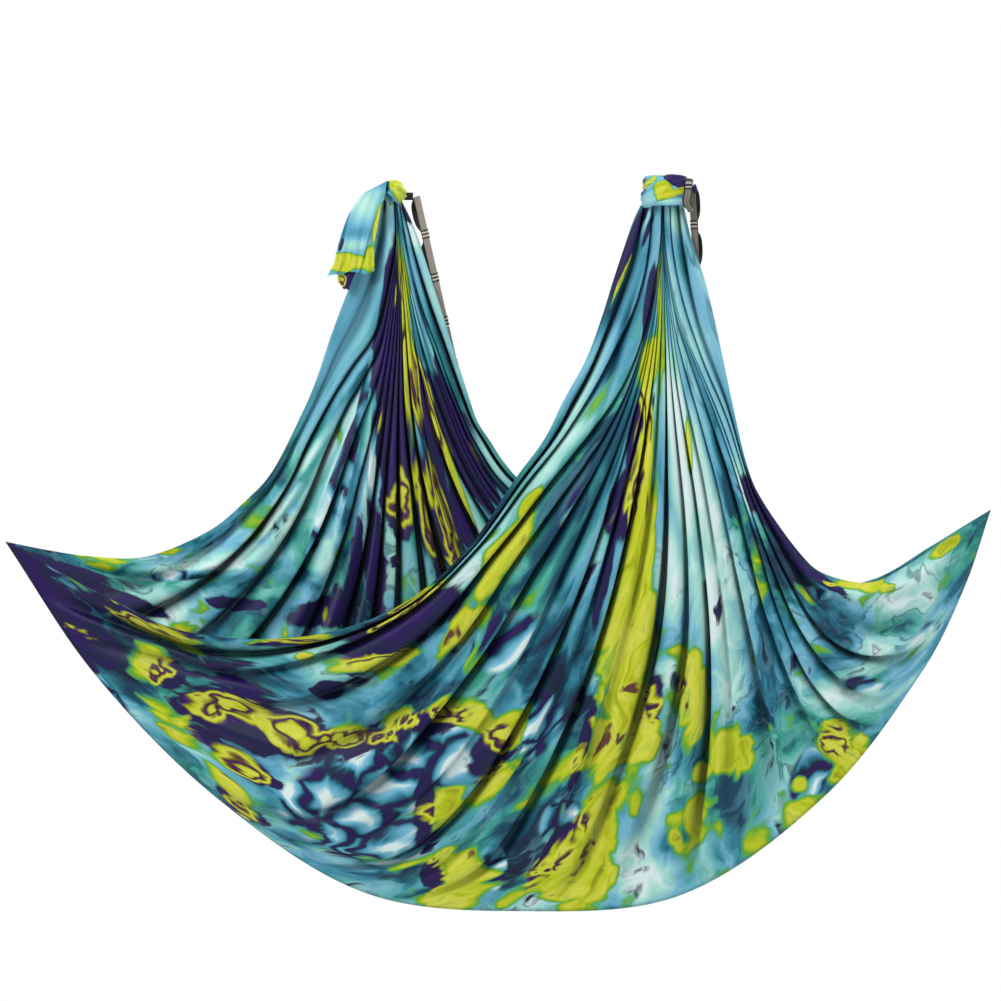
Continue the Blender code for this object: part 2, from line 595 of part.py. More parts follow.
tail_x, tail_z = place(TAIL_PIVOT_SHARES)
tail_joint = joint_empty("left_knot_tail_axis", (tail_x, left_eye.y - LEFT_CORE_RADIUS, tail_z), swing)
add_tail(tail_joint, left_eye, TAIL_COLOUR)
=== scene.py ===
"""Aerial hammock: the dyed cloth, its two knots and the two daisy-chain straps."""
import math

import bpy
import numpy as np
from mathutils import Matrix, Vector


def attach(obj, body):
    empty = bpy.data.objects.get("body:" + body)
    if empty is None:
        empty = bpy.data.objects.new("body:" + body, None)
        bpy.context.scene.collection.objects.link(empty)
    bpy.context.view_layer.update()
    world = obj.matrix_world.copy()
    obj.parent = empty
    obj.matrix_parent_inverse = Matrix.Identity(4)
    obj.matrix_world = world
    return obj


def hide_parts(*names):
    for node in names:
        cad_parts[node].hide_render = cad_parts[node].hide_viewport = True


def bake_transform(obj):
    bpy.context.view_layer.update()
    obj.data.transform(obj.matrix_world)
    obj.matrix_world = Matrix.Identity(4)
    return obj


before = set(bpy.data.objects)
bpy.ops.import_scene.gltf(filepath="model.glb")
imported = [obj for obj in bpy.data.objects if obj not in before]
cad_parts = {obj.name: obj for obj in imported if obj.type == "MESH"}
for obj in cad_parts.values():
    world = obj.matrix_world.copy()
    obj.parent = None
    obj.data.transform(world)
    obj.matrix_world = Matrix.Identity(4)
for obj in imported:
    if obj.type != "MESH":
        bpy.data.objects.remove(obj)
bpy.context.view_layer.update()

scene = bpy.context.scene

# Sizes in metres, as in the part's source
SPREAD, SPREAD_SHARE = 2.07, 0.985
FRAME_SIDE = SPREAD / SPREAD_SHARE
EYE_MIDDLE = (0.530, 0.190)
EYE_DEPTH = 0.25
SEAM_DEPTH = 0.0364
LEFT_EYE = np.array(((0.3935 - EYE_MIDDLE[0]) * FRAME_SIDE, EYE_DEPTH, 0.0))
RIGHT_EYE = np.array(((0.6665 - EYE_MIDDLE[0]) * FRAME_SIDE, -EYE_DEPTH, 0.0))
LEFT_CORE_RADIUS, RIGHT_CORE_RADIUS, HOLE_RADIUS = 0.022, 0.040, 0.0073
BELLY_EXPONENT = 1.8
CLOTH_WIDTH, CLOTH_LENGTH = 2.8, 3.1
UP = np.array((0, 0, 1.0))


def marks(*thousandths):
    """Places in the photograph's frame, x and z by turns, as shares of its side."""
    return np.reshape(thousandths, (-1, 2)) / 1000


# The lowest line, and the ribs of each half: share of the cloth's width, places from the knot down
BOTTOM = marks(
    5, 541, 13, 560, 38, 597, 66, 638, 114, 696, 175, 760, 253, 827, 318, 870, 375, 896, 438, 915, 525, 910,
    606, 901, 665, 900, 740, 860, 822, 797, 880, 741, 930, 655, 960, 596, 990, 509)
FRONT_RIBS = (
    (0, marks(632, 222, 623, 248, 611.5, 283, 600, 320, 585, 360, 563, 400, 543, 440, 515, 478, 465, 550,
        395, 607, 300, 636, 187, 631, 100, 593)),
    (0.12, marks(632, 262, 612, 330, 590, 400, 558, 470, 510, 550, 440, 635, 352, 690, 270, 706, 190, 694)),
    (0.25, marks(640, 300, 622, 400, 595, 500, 558, 600, 510, 690, 450, 765, 390, 812, 333, 832, 275, 824)),
    (0.38, marks(650, 320, 638, 430, 618, 540, 588, 640, 548, 730, 498, 810, 440, 868)),
    (0.5, marks(660, 330, 655, 450, 643, 560, 625, 660, 600, 760, 568, 850)),
    (0.62, marks(668, 330, 672, 450, 678, 560, 684, 660, 688, 760, 685, 840)),
    (0.75, marks(678, 330, 692, 430, 712, 530, 738, 620, 770, 700, 800, 765)),
    (0.87, marks(690, 320, 712, 420, 740, 510, 775, 600, 815, 660, 860, 688, 895, 687)),
    (0.94, marks(698, 320, 722, 410, 748, 500, 785, 578, 825, 630, 870, 645, 918, 628)),
    (1, marks(690, 240, 703, 280, 714, 325, 732, 409, 746, 467, 762, 502, 798, 552, 823, 573, 866, 582, 900,
        568, 948, 537)))
BACK_RIBS = (
    (0, marks(355, 270, 343, 300, 330, 335, 315, 380, 300, 415, 272, 470, 245, 500, 207, 531, 146, 556, 93,
        556, 50, 550)),
    (0.12, marks(370, 290, 350, 360, 330, 430, 300, 500, 262, 560, 215, 610, 160, 650)),
    (0.25, marks(380, 300, 372, 400, 355, 490, 330, 580, 300, 660, 262, 740)),
    (0.38, marks(388, 300, 388, 420, 386, 540, 383, 660, 378, 780)),
    (0.5, marks(396, 300, 405, 420, 425, 540, 455, 660, 490, 790)),
    (0.62, marks(403, 300, 420, 420, 450, 530, 505, 640, 575, 750, 635, 840)),
    (0.75, marks(409, 290, 425, 370, 447, 440, 480, 506, 535, 580, 615, 655, 710, 722)),
    (0.87, marks(416, 290, 434, 350, 451, 405, 470, 456, 498, 502, 550, 552, 635, 606, 740, 644, 845, 665)),
    (0.94, marks(423, 290, 442, 350, 458.5, 400, 476, 441, 500, 480, 545, 521, 618, 566, 715, 602, 800, 618,
        880, 611)),
    (1, marks(416, 233, 432, 282, 451, 342, 468.5, 397, 477, 421, 490, 441, 503, 461, 522, 482, 560, 510,
        625, 547, 710, 576, 800, 588, 872, 579, 928, 547, 957, 529)))


def place(shares):
    """World x and z of places given in shares of the photograph's frame."""
    return (np.asarray(shares, float) - EYE_MIDDLE) * (FRAME_SIDE, -FRAME_SIDE)


def curve_through(points, steps_each=16):
    points = np.asarray(points, float)
    ends = np.vstack((2 * points[0] - points[1], points, 2 * points[-1] - points[-2]))
    t = np.arange(1, steps_each + 1)[:, None] / steps_each
    dense = [points[:1]]
    for before, start, end, after in zip(ends, ends[1:], ends[2:], ends[3:]):
        dense.append(0.5 * (2 * start + (end - before) * t
                            + (2 * before - 5 * start + 4 * end - after) * t ** 2
                            + (3 * start - before - 3 * end + after) * t ** 3))
    return np.vstack(dense)


def running_length(line):
    return np.concatenate(((0,), np.cumsum(np.linalg.norm(np.diff(line, axis=0), axis=1))))


def even_points(dense, fractions):
    lengths = running_length(dense)
    goal = np.asarray(fractions) * lengths[-1]
    return np.stack([np.interp(goal, lengths, column) for column in dense.T], -1)


def smooth(low, high, value):
    t = np.clip((value - low) / (high - low), 0, 1)
    return t * t * (3 - 2 * t)


def levelled(values, width):
    """Running mean that keeps the ends."""
    return np.convolve(np.pad(values, width // 2, mode="edge"), np.ones(width) / width, "valid")


def lattice_noise(x, y, seed):
    """Smooth noise from -1 to 1 on a unit lattice."""
    table = np.random.RandomState(seed).uniform(-1, 1, (64, 64))
    xi, yi = np.floor(x).astype(int), np.floor(y).astype(int)
    fx, fy = smooth(0, 1, x - xi), smooth(0, 1, y - yi)
    a, b = table[xi % 64, yi % 64], table[(xi + 1) % 64, yi % 64]
    c, d = table[xi % 64, (yi + 1) % 64], table[(xi + 1) % 64, (yi + 1) % 64]
    return (a + (b - a) * fx) * (1 - fy) + (c + (d - c) * fx) * fy


ROWS = 150                  # along each half, from its knot to the lowest line
HALF_STEPS = 11             # points from a ridge to the valley beside it
PLEAT_DEPTH = 0.93          # of the depth that straight sides would reach
LEAST_RATIO = 0.01          # of a pleat's width to its cloth
STRAP_ROOM = 0.007          # between a pleat and the strap behind it
STRAP_FOOT = -0.82          # level of the straps' lower ends
# Line of the strap behind each half: x and y at the eyes, and what each gains with height
FRONT_STRAP, BACK_STRAP = (0.3373, -0.2280, -0.0532, -0.1313), (-0.2396, 0.264, -0.2256, -0.0821)
bottom_line = curve_through(place(BOTTOM))


def pleat_profiles(samples, ratios=80):
    """Sections of half a pleat, ridge to valley, for each ratio of its width to its cloth."""
    s = np.linspace(0, 1, 600)
    tables = []
    for ratio in np.linspace(LEAST_RATIO, 1, ratios):
        turning = min(max(1.15 * ratio, 0.06), 0.88)
        cap, valley = 0.74 * turning, 0.26 * turning
        bend = np.minimum(np.clip(s / cap, 0, 1) ** 2.2, np.clip((1 - s) / valley, 0, 1))
        low, high = 0.0, math.pi / 2
        for _ in range(40):
            angle = (low + high) / 2
            if np.cos(angle * bend).mean() > ratio:
                low = angle
            else:
                high = angle
        x, d = np.cumsum(np.cos(angle * bend)), np.cumsum(np.sin(angle * bend)) + 1e-9 * s
        # more points where the cloth turns
        dense = np.cumsum(1 + 5 * (s < cap) / max(cap, 0.05) * 0.3 + 2 * (s > 1 - valley))
        dense, x, d = ((line - line[0]) / (line[-1] - line[0]) for line in (dense, x, d))
        where = np.interp(np.linspace(0, 1, samples), dense, s)
        tables.append(np.stack((np.interp(where, s, x), np.interp(where, s, d), where)))
    return np.array(tables)


def rib_points(table, top_line, rows):
    """Points of the ribs at each row. top_line is the left and right end of the row under the knot."""
    points = []
    for share, passes in table:
        top = top_line[0] * (1 - share) + top_line[1] * share
        route = np.vstack((place(top), place(passes), even_points(bottom_line, [share])[0]))
        points.append(even_points(curve_through(route), rows))
    return np.array([share for share, _ in table]), np.array(points)


def across(shares, points, u):
    """Hermite reading across the ribs. u is (R, C); returns (R, C, 2)."""
    u = np.clip(u, 0, 1)
    last = len(shares) - 1
    index = np.clip(np.searchsorted(shares, u, side="right") - 1, 0, last - 1)
    low, high = np.maximum(np.arange(last + 1) - 1, 0), np.minimum(np.arange(last + 1) + 1, last)
    slopes = (points[high] - points[low]) / (shares[high] - shares[low])[:, None, None]
    row = np.arange(u.shape[0])[:, None]
    start, end = points[index, row], points[index + 1, row]
    span = (shares[index + 1] - shares[index])[..., None]
    t = (u - shares[index])[..., None] / span
    return ((2 * t ** 3 - 3 * t ** 2 + 1) * start + (t ** 3 - 2 * t ** 2 + t) * span * slopes[index, row]
            + (3 * t ** 2 - 2 * t ** 3) * end + (t ** 3 - t ** 2) * span * slopes[index + 1, row])


def swags(flat, creases):
    """Depth of soft folds that lie along drawn lines: (line shares, half width, height)."""
    total = np.zeros(flat.shape[:-1])
    for line, width, height in creases:
        dense = curve_through(place(line), 6)
        best = np.full(total.shape, 1e9)
        along = np.zeros(total.shape)
        for index, (a, b) in enumerate(zip(dense, dense[1:])):
            way = b - a
            t = np.clip(((flat - a) @ way) / (way @ way), 0, 1)
            gap = flat - (a + t[..., None] * way)
            distance = np.hypot(gap[..., 0], gap[..., 1])
            distance *= np.sign(gap[..., 1] * way[0] - gap[..., 0] * way[1])
            nearer = np.abs(distance) < np.abs(best)
            best = np.where(nearer, distance, best)
            along = np.where(nearer, (index + t) / (len(dense) - 1), along)
        q = best / width
        # a rounded ridge with a narrower hollow under it
        shape = np.exp(-(q - 0.6) ** 2 * 1.6) - 0.8 * np.exp(-(q + 0.35) ** 2 * 6)
        total += height * shape * smooth(0, 0.18, along) * smooth(0, 0.18, 1 - along)
    return total


def half_cloth(table, eye, top_line, side, bands, opening, lean, creases, seed):
    """One half of the cloth. side is -1 on the near half and 1 on the far one.

    bands rows: width under the knot, width halfway down, sunk under the knot by mm, tilt, crease beside it.
    """
    near = side < 0
    rows = np.linspace(0, 1, ROWS) ** 1.08
    down = rows[:, None]
    shares, ribs = rib_points(table, top_line, rows)
    knot_width, mid_width, sink, tilt, crease = np.array(bands).T
    cloth_share = CLOTH_SHARES / CLOTH_SHARES.sum()
    opened = levelled(np.interp(rows, *opening), 9)[:, None]
    spread = smooth(0.42, 0.95, down)
    width = knot_width / knot_width.sum() * (1 - opened) + mid_width / mid_width.sum() * opened
    width = width * (1 - spread) + cloth_share * spread
    edge = np.cumsum(width, axis=1)[:, :-1]
    count = len(bands)
    k = np.arange(count - 1)[None]
    wobble = 0.16 * lattice_noise(down * 5 + 3, k * 5.3 + 0.4, seed + 7) * smooth(0, 0.12, 1 - down)
    edge = edge + wobble * np.minimum(width[:, :-1], width[:, 1:])
    ridge = np.hstack((0 * down, (edge[:, :-1] + edge[:, 1:]) / 2, 0 * down + 1))
    cloth_edge = np.cumsum(cloth_share)[:-1] * CLOTH_WIDTH
    s_ridge = np.concatenate(((0,), (cloth_edge[:-1] + cloth_edge[1:]) / 2, (CLOTH_WIDTH,)))
    at_ridge, at_valley = across(shares, ribs, ridge), across(shares, ribs, edge)
    left_width = np.linalg.norm(at_valley - at_ridge[:, :-1], axis=-1)
    right_width = np.linalg.norm(at_ridge[:, 1:] - at_valley, axis=-1)
    half = (left_width + right_width) / 2
    arc = (s_ridge[1:] - s_ridge[:-1]) / 2
    fullness = 0.985 - 0.03 * smooth(0.0, 0.3, 1 - down)
    spare = np.sqrt(np.maximum(arc ** 2 - (half * fullness) ** 2, 0)) * PLEAT_DEPTH
    # taut cloth keeps shallow folds
    soft = 0.08 + 0.16 * np.random.RandomState(seed + 9).rand(count - 1)
    spare = np.maximum(spare, half * soft * (1 - 0.7 * smooth(0.45, 0.85, down)))
    base_y = SEAM_DEPTH + (1 - down ** BELLY_EXPONENT) * (eye[1] - SEAM_DEPTH)
    room = np.abs(base_y - SEAM_DEPTH)
    # the deepest that a pleat may be, less near the knot and where the halves meet
    cap = 0.034 + 0.078 * smooth(0.02, 0.32, down)
    cap = np.minimum(cap, room * 0.62 if near else 0.004 + room * 0.7)
    depth = cap * np.tanh(spare / np.maximum(cap, 1e-6))
    depth *= 1 + 0.30 * lattice_noise(down * 5, k * 3.7 + 0 * depth, seed + 5)
    depth *= 1.04 - (1 - crease[:-1]) * (0.50 + 0.35 * smooth(0.05, 0.25, down))
    # each strap hangs close behind its half of the cloth
    x, z = at_valley[..., 0], at_valley[..., 1]
    strap_x, strap_y, gain_x, gain_y = FRONT_STRAP if near else BACK_STRAP
    beside = np.exp(-((x - strap_x - z * gain_x) / 0.040) ** 4) * (z < 0.01) * (z > STRAP_FOOT)
    allowed = np.maximum(strap_y + z * gain_y - base_y - STRAP_ROOM, 0.003)
    depth = depth * (1 - beside) + np.minimum(depth, allowed) * beside
    sunk = sink / 1000 * (1 - smooth(0.10, 0.55, down))
    around = np.pad(depth, ((0, 0), (1, 1)), mode="edge") * 0.7
    sunk = np.minimum(np.minimum(sunk, around[:, 1:]), around[:, :-1])

    profiles = pleat_profiles(HALF_STEPS)
    steps = len(profiles) - 1
    parts = []
    for index in range(count - 1):
        for own, wide, way in ((index, left_width[:, index], 1), (index + 1, right_width[:, index], -1)):
            u_ridge, d_ridge = ridge[:, [own]], sunk[:, [own]]
            fall = np.maximum(depth[:, [index]] - d_ridge, 1e-5)
            ratio = np.clip(wide / np.hypot(wide, fall[:, 0] / PLEAT_DEPTH), LEAST_RATIO + 0.0001, 1)
            slot = (ratio - LEAST_RATIO) / (1 - LEAST_RATIO) * steps
            low = np.clip(slot.astype(int), 0, steps - 1)
            part = (slot - low)[:, None, None]
            shape = (profiles[low] * (1 - part) + profiles[low + 1] * part)[..., ::way]
            over, deep, along = shape[..., :-1].transpose(1, 0, 2)
            slope = tilt[own] * way * np.minimum(wide, 0.022)[:, None] * over * (1 - deep)
            if own in (0, count - 1):
                slope = np.abs(slope)
            parts.append((u_ridge + (edge[:, [index]] - u_ridge) * over,
                          d_ridge + fall * deep + slope * smooth(0, 0.3, 1 - down),
                          s_ridge[own] + (cloth_edge[index] - s_ridge[own]) * along, fall * deep))
    parts.append((ridge[:, -1:], sunk[:, -1:], 0 * down + CLOTH_WIDTH, 0 * down))
    u, d, s, falls = (np.hstack(columns) for columns in zip(*parts))
    # how deep each point lies in its fold, which the material turns into painted shade
    fold = (1 - np.exp(-falls / (0.018 if near else 0.011))) ** 2

    # pleats lean, so that each lies partly over the next
    apart = 0.004
    stretch = across(shares, ribs, u + apart) - across(shares, ribs, u - apart)
    stretch = np.linalg.norm(stretch, axis=-1) / (2 * apart)
    lean_here = np.interp(u.ravel(), np.linspace(0, 1, len(lean)), lean).reshape(u.shape)
    shift = lean_here * np.maximum(d, 0) / np.maximum(stretch, 0.03)
    limit = 0.55 * np.minimum(u, 1 - u) + 1e-9
    u_lean = np.clip(u + limit * np.tanh(shift / limit), 0, 1)
    flat = across(shares, ribs, u_lean)

    # long soft wrinkles and swags
    t = down + 0 * u
    fade = smooth(0.0, 0.12, 1 - t)
    fine = 0.0022 if near else 0.0050 - 0.0020 * smooth(0.6, 0.9, t)
    wrinkle = (fine * lattice_noise(s * 38, t * 2.6, seed + 1)
               + 0.0034 * lattice_noise(s * 15, t * 4.1, seed + 2)
               + 0.0050 * lattice_noise(s * 6.0, t * 3.0, seed + 3) * smooth(0.3, 0.7, t))
    wrinkle *= fade * smooth(0.05, 0.35, t)
    y = base_y + d - (wrinkle + swags(flat, creases) * fade) * np.minimum(1, room / 0.03)
    # the gathered cloth is round under the knot
    round_off = 0.030 * (1 - np.sqrt(np.maximum(1 - (2 * u_lean - 1) ** 2, 0)))
    y = y + round_off * (1 - smooth(0.0, 0.42, t))
    y = (np.minimum if near else np.maximum)(y, SEAM_DEPTH)
    return np.stack((flat[..., 0], y, flat[..., 1]), -1), s, rows, fold


def grid_faces(rows, columns, closed=False):
    """Faces of a grid of points, which a closed grid joins all round."""
    index = np.arange(rows * columns).reshape(rows, columns)
    if closed:
        index = np.hstack((index, index[:, :1]))
    faces = np.stack((index[:-1, :-1], index[1:, :-1], index[1:, 1:], index[:-1, 1:]), -1)
    return faces.reshape(-1, 4).tolist()


def tube_faces(steps, sides, first=0):
    """Faces of a tube of rings, with both ends closed."""
    index = first + np.arange(steps * sides).reshape(steps, sides)
    ring = np.hstack((index, index[:, :1]))
    faces = np.stack((ring[:-1, :-1], ring[:-1, 1:], ring[1:, 1:], ring[1:, :-1]), -1).reshape(-1, 4)
    return faces.tolist() + [index[0][::-1].tolist(), index[-1].tolist()]


def mesh_object(name, points, faces, material, uv_name, uv):
    """A smooth mesh. uv holds each point's place on its cloth or webbing, in metres."""
    mesh = bpy.data.meshes.new(name)
    mesh.from_pydata(points.reshape(-1, 3).tolist(), [], faces)
    mesh.update()
    mesh.shade_smooth()
    corners = np.empty(len(mesh.loops), int)
    mesh.loops.foreach_get("vertex_index", corners)
    mesh.uv_layers.new(name=uv_name).data.foreach_set("uv", uv.reshape(-1, 2)[corners].ravel())
    mesh.materials.append(material)
    thing = bpy.data.objects.new(name, mesh)
    scene.collection.objects.link(thing)
    return thing


def dress(thing, body, nodes):
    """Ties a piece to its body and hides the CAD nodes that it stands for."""
    if body:
        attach(thing, body)
    if nodes:
        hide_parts(*nodes)
    return thing


class Nodes:
    """Short calls that add nodes to one material or world."""

    def __init__(self, owner):
        owner.use_nodes = True
        self.tree = owner.node_tree
        self.tree.nodes.clear()

    def add(self, kind, inputs=(), **settings):
        node = self.tree.nodes.new("ShaderNode" + kind)
        for name, value in settings.items():
            setattr(node, name, value)
        for name, value in dict(inputs).items():
            self.feed(node.inputs[name], value)
        return node

    def feed(self, socket, value):
        if isinstance(value, bpy.types.NodeSocket):
            self.tree.links.new(value, socket)
        elif isinstance(value, tuple) and len(value) == 3 and socket.type == "RGBA":
            socket.default_value = (*value, 1)
        else:
            socket.default_value = value

    def maths(self, operation, a, b):
        return self.add("Math", {0: a, 1: b}, operation=operation).outputs[0]

    def product(self, a, b):
        return self.maths("MULTIPLY", a, b)

    def noise(self, vector, scale, detail=2.0, rough=0.5, output="Fac"):
        return self.add("TexNoise", {"Vector": vector, "Scale": scale, "Detail": detail,
                                     "Roughness": rough}).outputs[output]

    def cells(self, vector, scale, feature="F1"):
        return self.add("TexVoronoi", {"Vector": vector, "Scale": scale}, voronoi_dimensions="2D",
                        feature=feature).outputs["Distance"]

    def wave(self, vector, direction, scale, distortion, detail=1.0):
        return self.add("TexWave", {"Vector": vector, "Scale": scale, "Distortion": distortion,
                                    "Detail": detail}, bands_direction=direction).outputs["Fac"]

    def ramp(self, value, *stops):
        node = self.add("ValToRGB", {"Fac": value})
        elements = node.color_ramp.elements
        while len(elements) > 1:
            elements.remove(elements[-1])
        for index, (at, colour) in enumerate(stops):
            element = elements.new(at) if index else elements[0]
            element.position = at
            element.color = (*colour, 1)
        return node.outputs["Color"]

    def mix(self, factor, a, b):
        return self.add("Mix", {0: factor, 6: a, 7: b}, data_type="RGBA").outputs[2]

    def step(self, low, high, value):
        return self.add("MapRange", {"Value": value, "From Min": low, "From Max": high},
                        interpolation_type="SMOOTHSTEP").outputs["Result"]

    def total(self, base, *terms):
        """base plus each value times its weight."""
        for value, weight in terms:
            base = self.add("Math", {0: value, 1: weight, 2: base}, operation="MULTIPLY_ADD").outputs[0]
        return base

    def warped(self, vector, scale, reach):
        """The vector pushed about by noise."""
        drift = self.noise(vector, scale, 3.0, 0.55, "Color")
        return self.add("VectorMath", {0: drift, 1: (reach, reach, 0.0), 2: vector},
                        operation="MULTIPLY_ADD").outputs[0]

    def scaled(self, vector, factors):
        return self.add("VectorMath", {0: vector, 1: factors}, operation="MULTIPLY").outputs[0]

    def background_rays(self):
        """1 for rays from the camera, a mirror or glass, which see a white background."""
        seen = self.add("LightPath").outputs
        return self.maths("MAXIMUM", seen["Is Camera Ray"],
                          self.maths("MAXIMUM", seen["Is Glossy Ray"], seen["Is Transmission Ray"]))

    def surface(self, shader, kind="OutputMaterial"):
        self.tree.links.new(shader.outputs[0], self.add(kind).inputs["Surface"])

    def finish(self, colour, height, strength, distance, wear, smoothest, roughest, **more):
        """A surface with a bump, whose roughness follows wear."""
        bump = self.add("Bump", {"Strength": strength, "Distance": distance, "Height": height})
        rough = self.add("MapRange", {"Value": wear, "To Min": smoothest, "To Max": roughest})
        self.surface(self.add("BsdfPrincipled", {"Base Color": colour, "Roughness": rough.outputs["Result"],
                                                 "Normal": bump.outputs["Normal"], **more}))


def new_material(name):
    mat = bpy.data.materials.new(name)
    return mat, Nodes(mat)


def srgb(*levels):
    return tuple(c / 12.92 if c <= 0.04045 else ((c + 0.055) / 1.055) ** 2.4
                 for c in (level / 255 for level in levels))


LIGHT_BLUE, SKY = srgb(128, 192, 216), srgb(98, 170, 198)
TEAL, DEEP_TEAL = srgb(52, 134, 158), srgb(12, 74, 98)
INK, FOLD_SHADE = srgb(12, 26, 56), srgb(6, 18, 40)
MINT, PALE = srgb(168, 226, 214), srgb(222, 242, 242)
LIME, YELLOW, OLIVE = srgb(190, 202, 20), srgb(216, 218, 78), srgb(138, 140, 10)
GREEN, SEA_GREEN = srgb(96, 168, 44), srgb(60, 172, 136)
PURPLE, PLUM, BROWN = srgb(34, 8, 84), srgb(74, 38, 96), srgb(96, 56, 44)


def cloth_material(name):
    """Satin tricot with a marbled tie-dye, and painted shade deep in its folds. The dye reads the cloth's
    own lengths from the UV map.
    """
    mat, n = new_material(name)
    cloth_uv = n.add("UVMap", uv_map="dye").outputs["UV"]
    zones = n.add("Attribute", attribute_name="zones").outputs
    lime, purple, pale = n.add("SeparateColor", {"Color": zones["Color"]}).outputs
    deep = zones["Alpha"]
    calm = n.add("Attribute", attribute_name="calm").outputs["Fac"]

    push = n.warped(cloth_uv, 3.0, 0.34)
    swirl = n.warped(push, 10.0, 0.065)
    wash = n.noise(swirl, 3.2, 3.0)
    cloud = n.noise(swirl, 8.0, 3.0)
    fine = n.noise(swirl, 28.0, 3.0, 0.55)
    streak = n.noise(n.scaled(swirl, (26.0, 2.0, 1.0)), 1.0, 3.0, 0.6)
    spots, lobes = n.cells(swirl, 12.0), n.cells(push, 30.0)

    wild = n.total(-2.10, (wash, 2.3), (cloud, 1.1), (fine, 0.40), (streak, 0.40))
    level = n.total(0.40, (n.product(wild, n.total(1.0, (calm, -0.82))), 1.0), (pale, 0.34), (deep, -0.28),
                    (calm, 0.10))
    base = n.ramp(level, (0.02, INK), (0.16, DEEP_TEAL), (0.32, TEAL), (0.47, SKY), (0.62, LIGHT_BLUE),
                  (0.80, MINT), (0.98, PALE))
    greenish = n.step(0.46, 0.62, n.noise(push, 4.2))
    green_base = n.ramp(level, (0.15, DEEP_TEAL), (0.40, SEA_GREEN), (0.72, MINT), (1.0, PALE))
    base = n.mix(n.product(greenish, n.total(0.75, (calm, -0.65))), base, green_base)
    # agate bands where the dye dried in rings
    band = n.maths("PINGPONG", n.total(0.0, (wash, 7.0), (cloud, 4.0), (fine, 0.6)), 0.5)
    ringed = n.step(0.44, 0.58, n.total(0.0, (n.noise(cloth_uv, 2.6), 1.0), (calm, -0.3)))
    base = n.mix(n.product(n.product(n.step(0.36, 0.49, band), ringed), 0.62), base, DEEP_TEAL)
    base = n.mix(n.product(n.product(n.step(0.20, 0.02, band), ringed), 0.25), base, LIGHT_BLUE)
    # round cells with dark joints, where the pale and the deep dye meet
    cell = n.cells(n.scaled(swirl, (0.55, 1.0, 1.0)), 13.0, "DISTANCE_TO_EDGE")
    cell = n.total(-0.33, (cell, 1.60), (fine, 0.30), (cloud, 0.30))
    cell_colour = n.ramp(cell, (0.00, PURPLE), (0.06, INK), (0.11, DEEP_TEAL), (0.18, TEAL), (0.27, SKY),
                         (0.38, LIGHT_BLUE), (0.54, PALE))
    base = n.mix(n.step(0.12, 0.30, n.product(pale, deep)), base, cell_colour)

    # dark patches
    dark = n.total(-1.58, (calm, -0.4), (purple, 1.0), (cloud, 1.6), (fine, 0.6), (streak, 0.9))
    dark_colour = n.ramp(dark, (0.20, DEEP_TEAL), (0.34, INK), (0.50, PURPLE), (0.72, INK), (0.90, PURPLE))
    coloured = n.mix(n.step(0.18, 0.40, dark), base, dark_colour)
    # lime blotches: soft green edges, and rings of dark dye where the purple dye is near
    blotch = n.total(-0.64, (calm, -0.4), (lime, 0.80), (n.noise(swirl, 6.0, 3.0, 0.55), 1.6),
                     (streak, 0.30), (spots, -0.62))
    lobed = n.total(0.08, (blotch, 1.0), (lobes, -0.45), (fine, 0.16))
    crisp = n.ramp(lobed, (0.18, INK), (0.28, PURPLE), (0.34, PLUM), (0.40, OLIVE), (0.47, LIME),
                   (0.58, YELLOW), (0.66, OLIVE), (0.71, BROWN), (0.76, PURPLE), (0.82, BROWN), (0.88, LIME),
                   (0.97, YELLOW))
    soft = n.ramp(blotch, (0.28, SEA_GREEN), (0.42, GREEN), (0.54, LIME), (0.68, YELLOW), (0.82, LIME),
                  (0.95, OLIVE))
    lively = n.ramp(n.total(0.0, (streak, 0.6), (cloud, 0.5)), (0.38, OLIVE), (0.50, LIME), (0.60, YELLOW),
                    (0.74, GREEN))
    soft = n.mix(n.step(0.52, 0.68, blotch), soft, lively)
    edged = n.step(0.22, 0.40, n.total(0.0, (purple, 1.0), (calm, -0.6)))
    speck = n.step(0.60, 0.68, n.total(0.0, (n.noise(push, 11.0, 3.0, 0.6), 1.0), (calm, -0.2)))
    lime_colour = n.mix(n.product(speck, n.step(0.46, 0.56, blotch)), n.mix(edged, soft, crisp), BROWN)
    coloured = n.mix(n.step(0.25, 0.42, blotch), coloured, lime_colour)

    # painted shade: the colour is darkened towards FOLD_SHADE deep in the folds, where shade falls
    fold = n.add("Attribute", attribute_name="fold").outputs["Fac"]
    coloured = n.mix(n.product(fold, 0.85), coloured, FOLD_SHADE)

    crumple = n.noise(cloth_uv, 120.0, 3.0, 0.6)
    height = n.maths("ADD", n.product(n.wave(cloth_uv, "X", 260.0, 1.2), 0.35), crumple)
    n.finish(coloured, height, 0.16, 0.0012, crumple, 0.36, 0.52,
             **{"Sheen Weight": 0.05, "Sheen Roughness": 0.4, "Specular IOR Level": 0.22})
    return mat


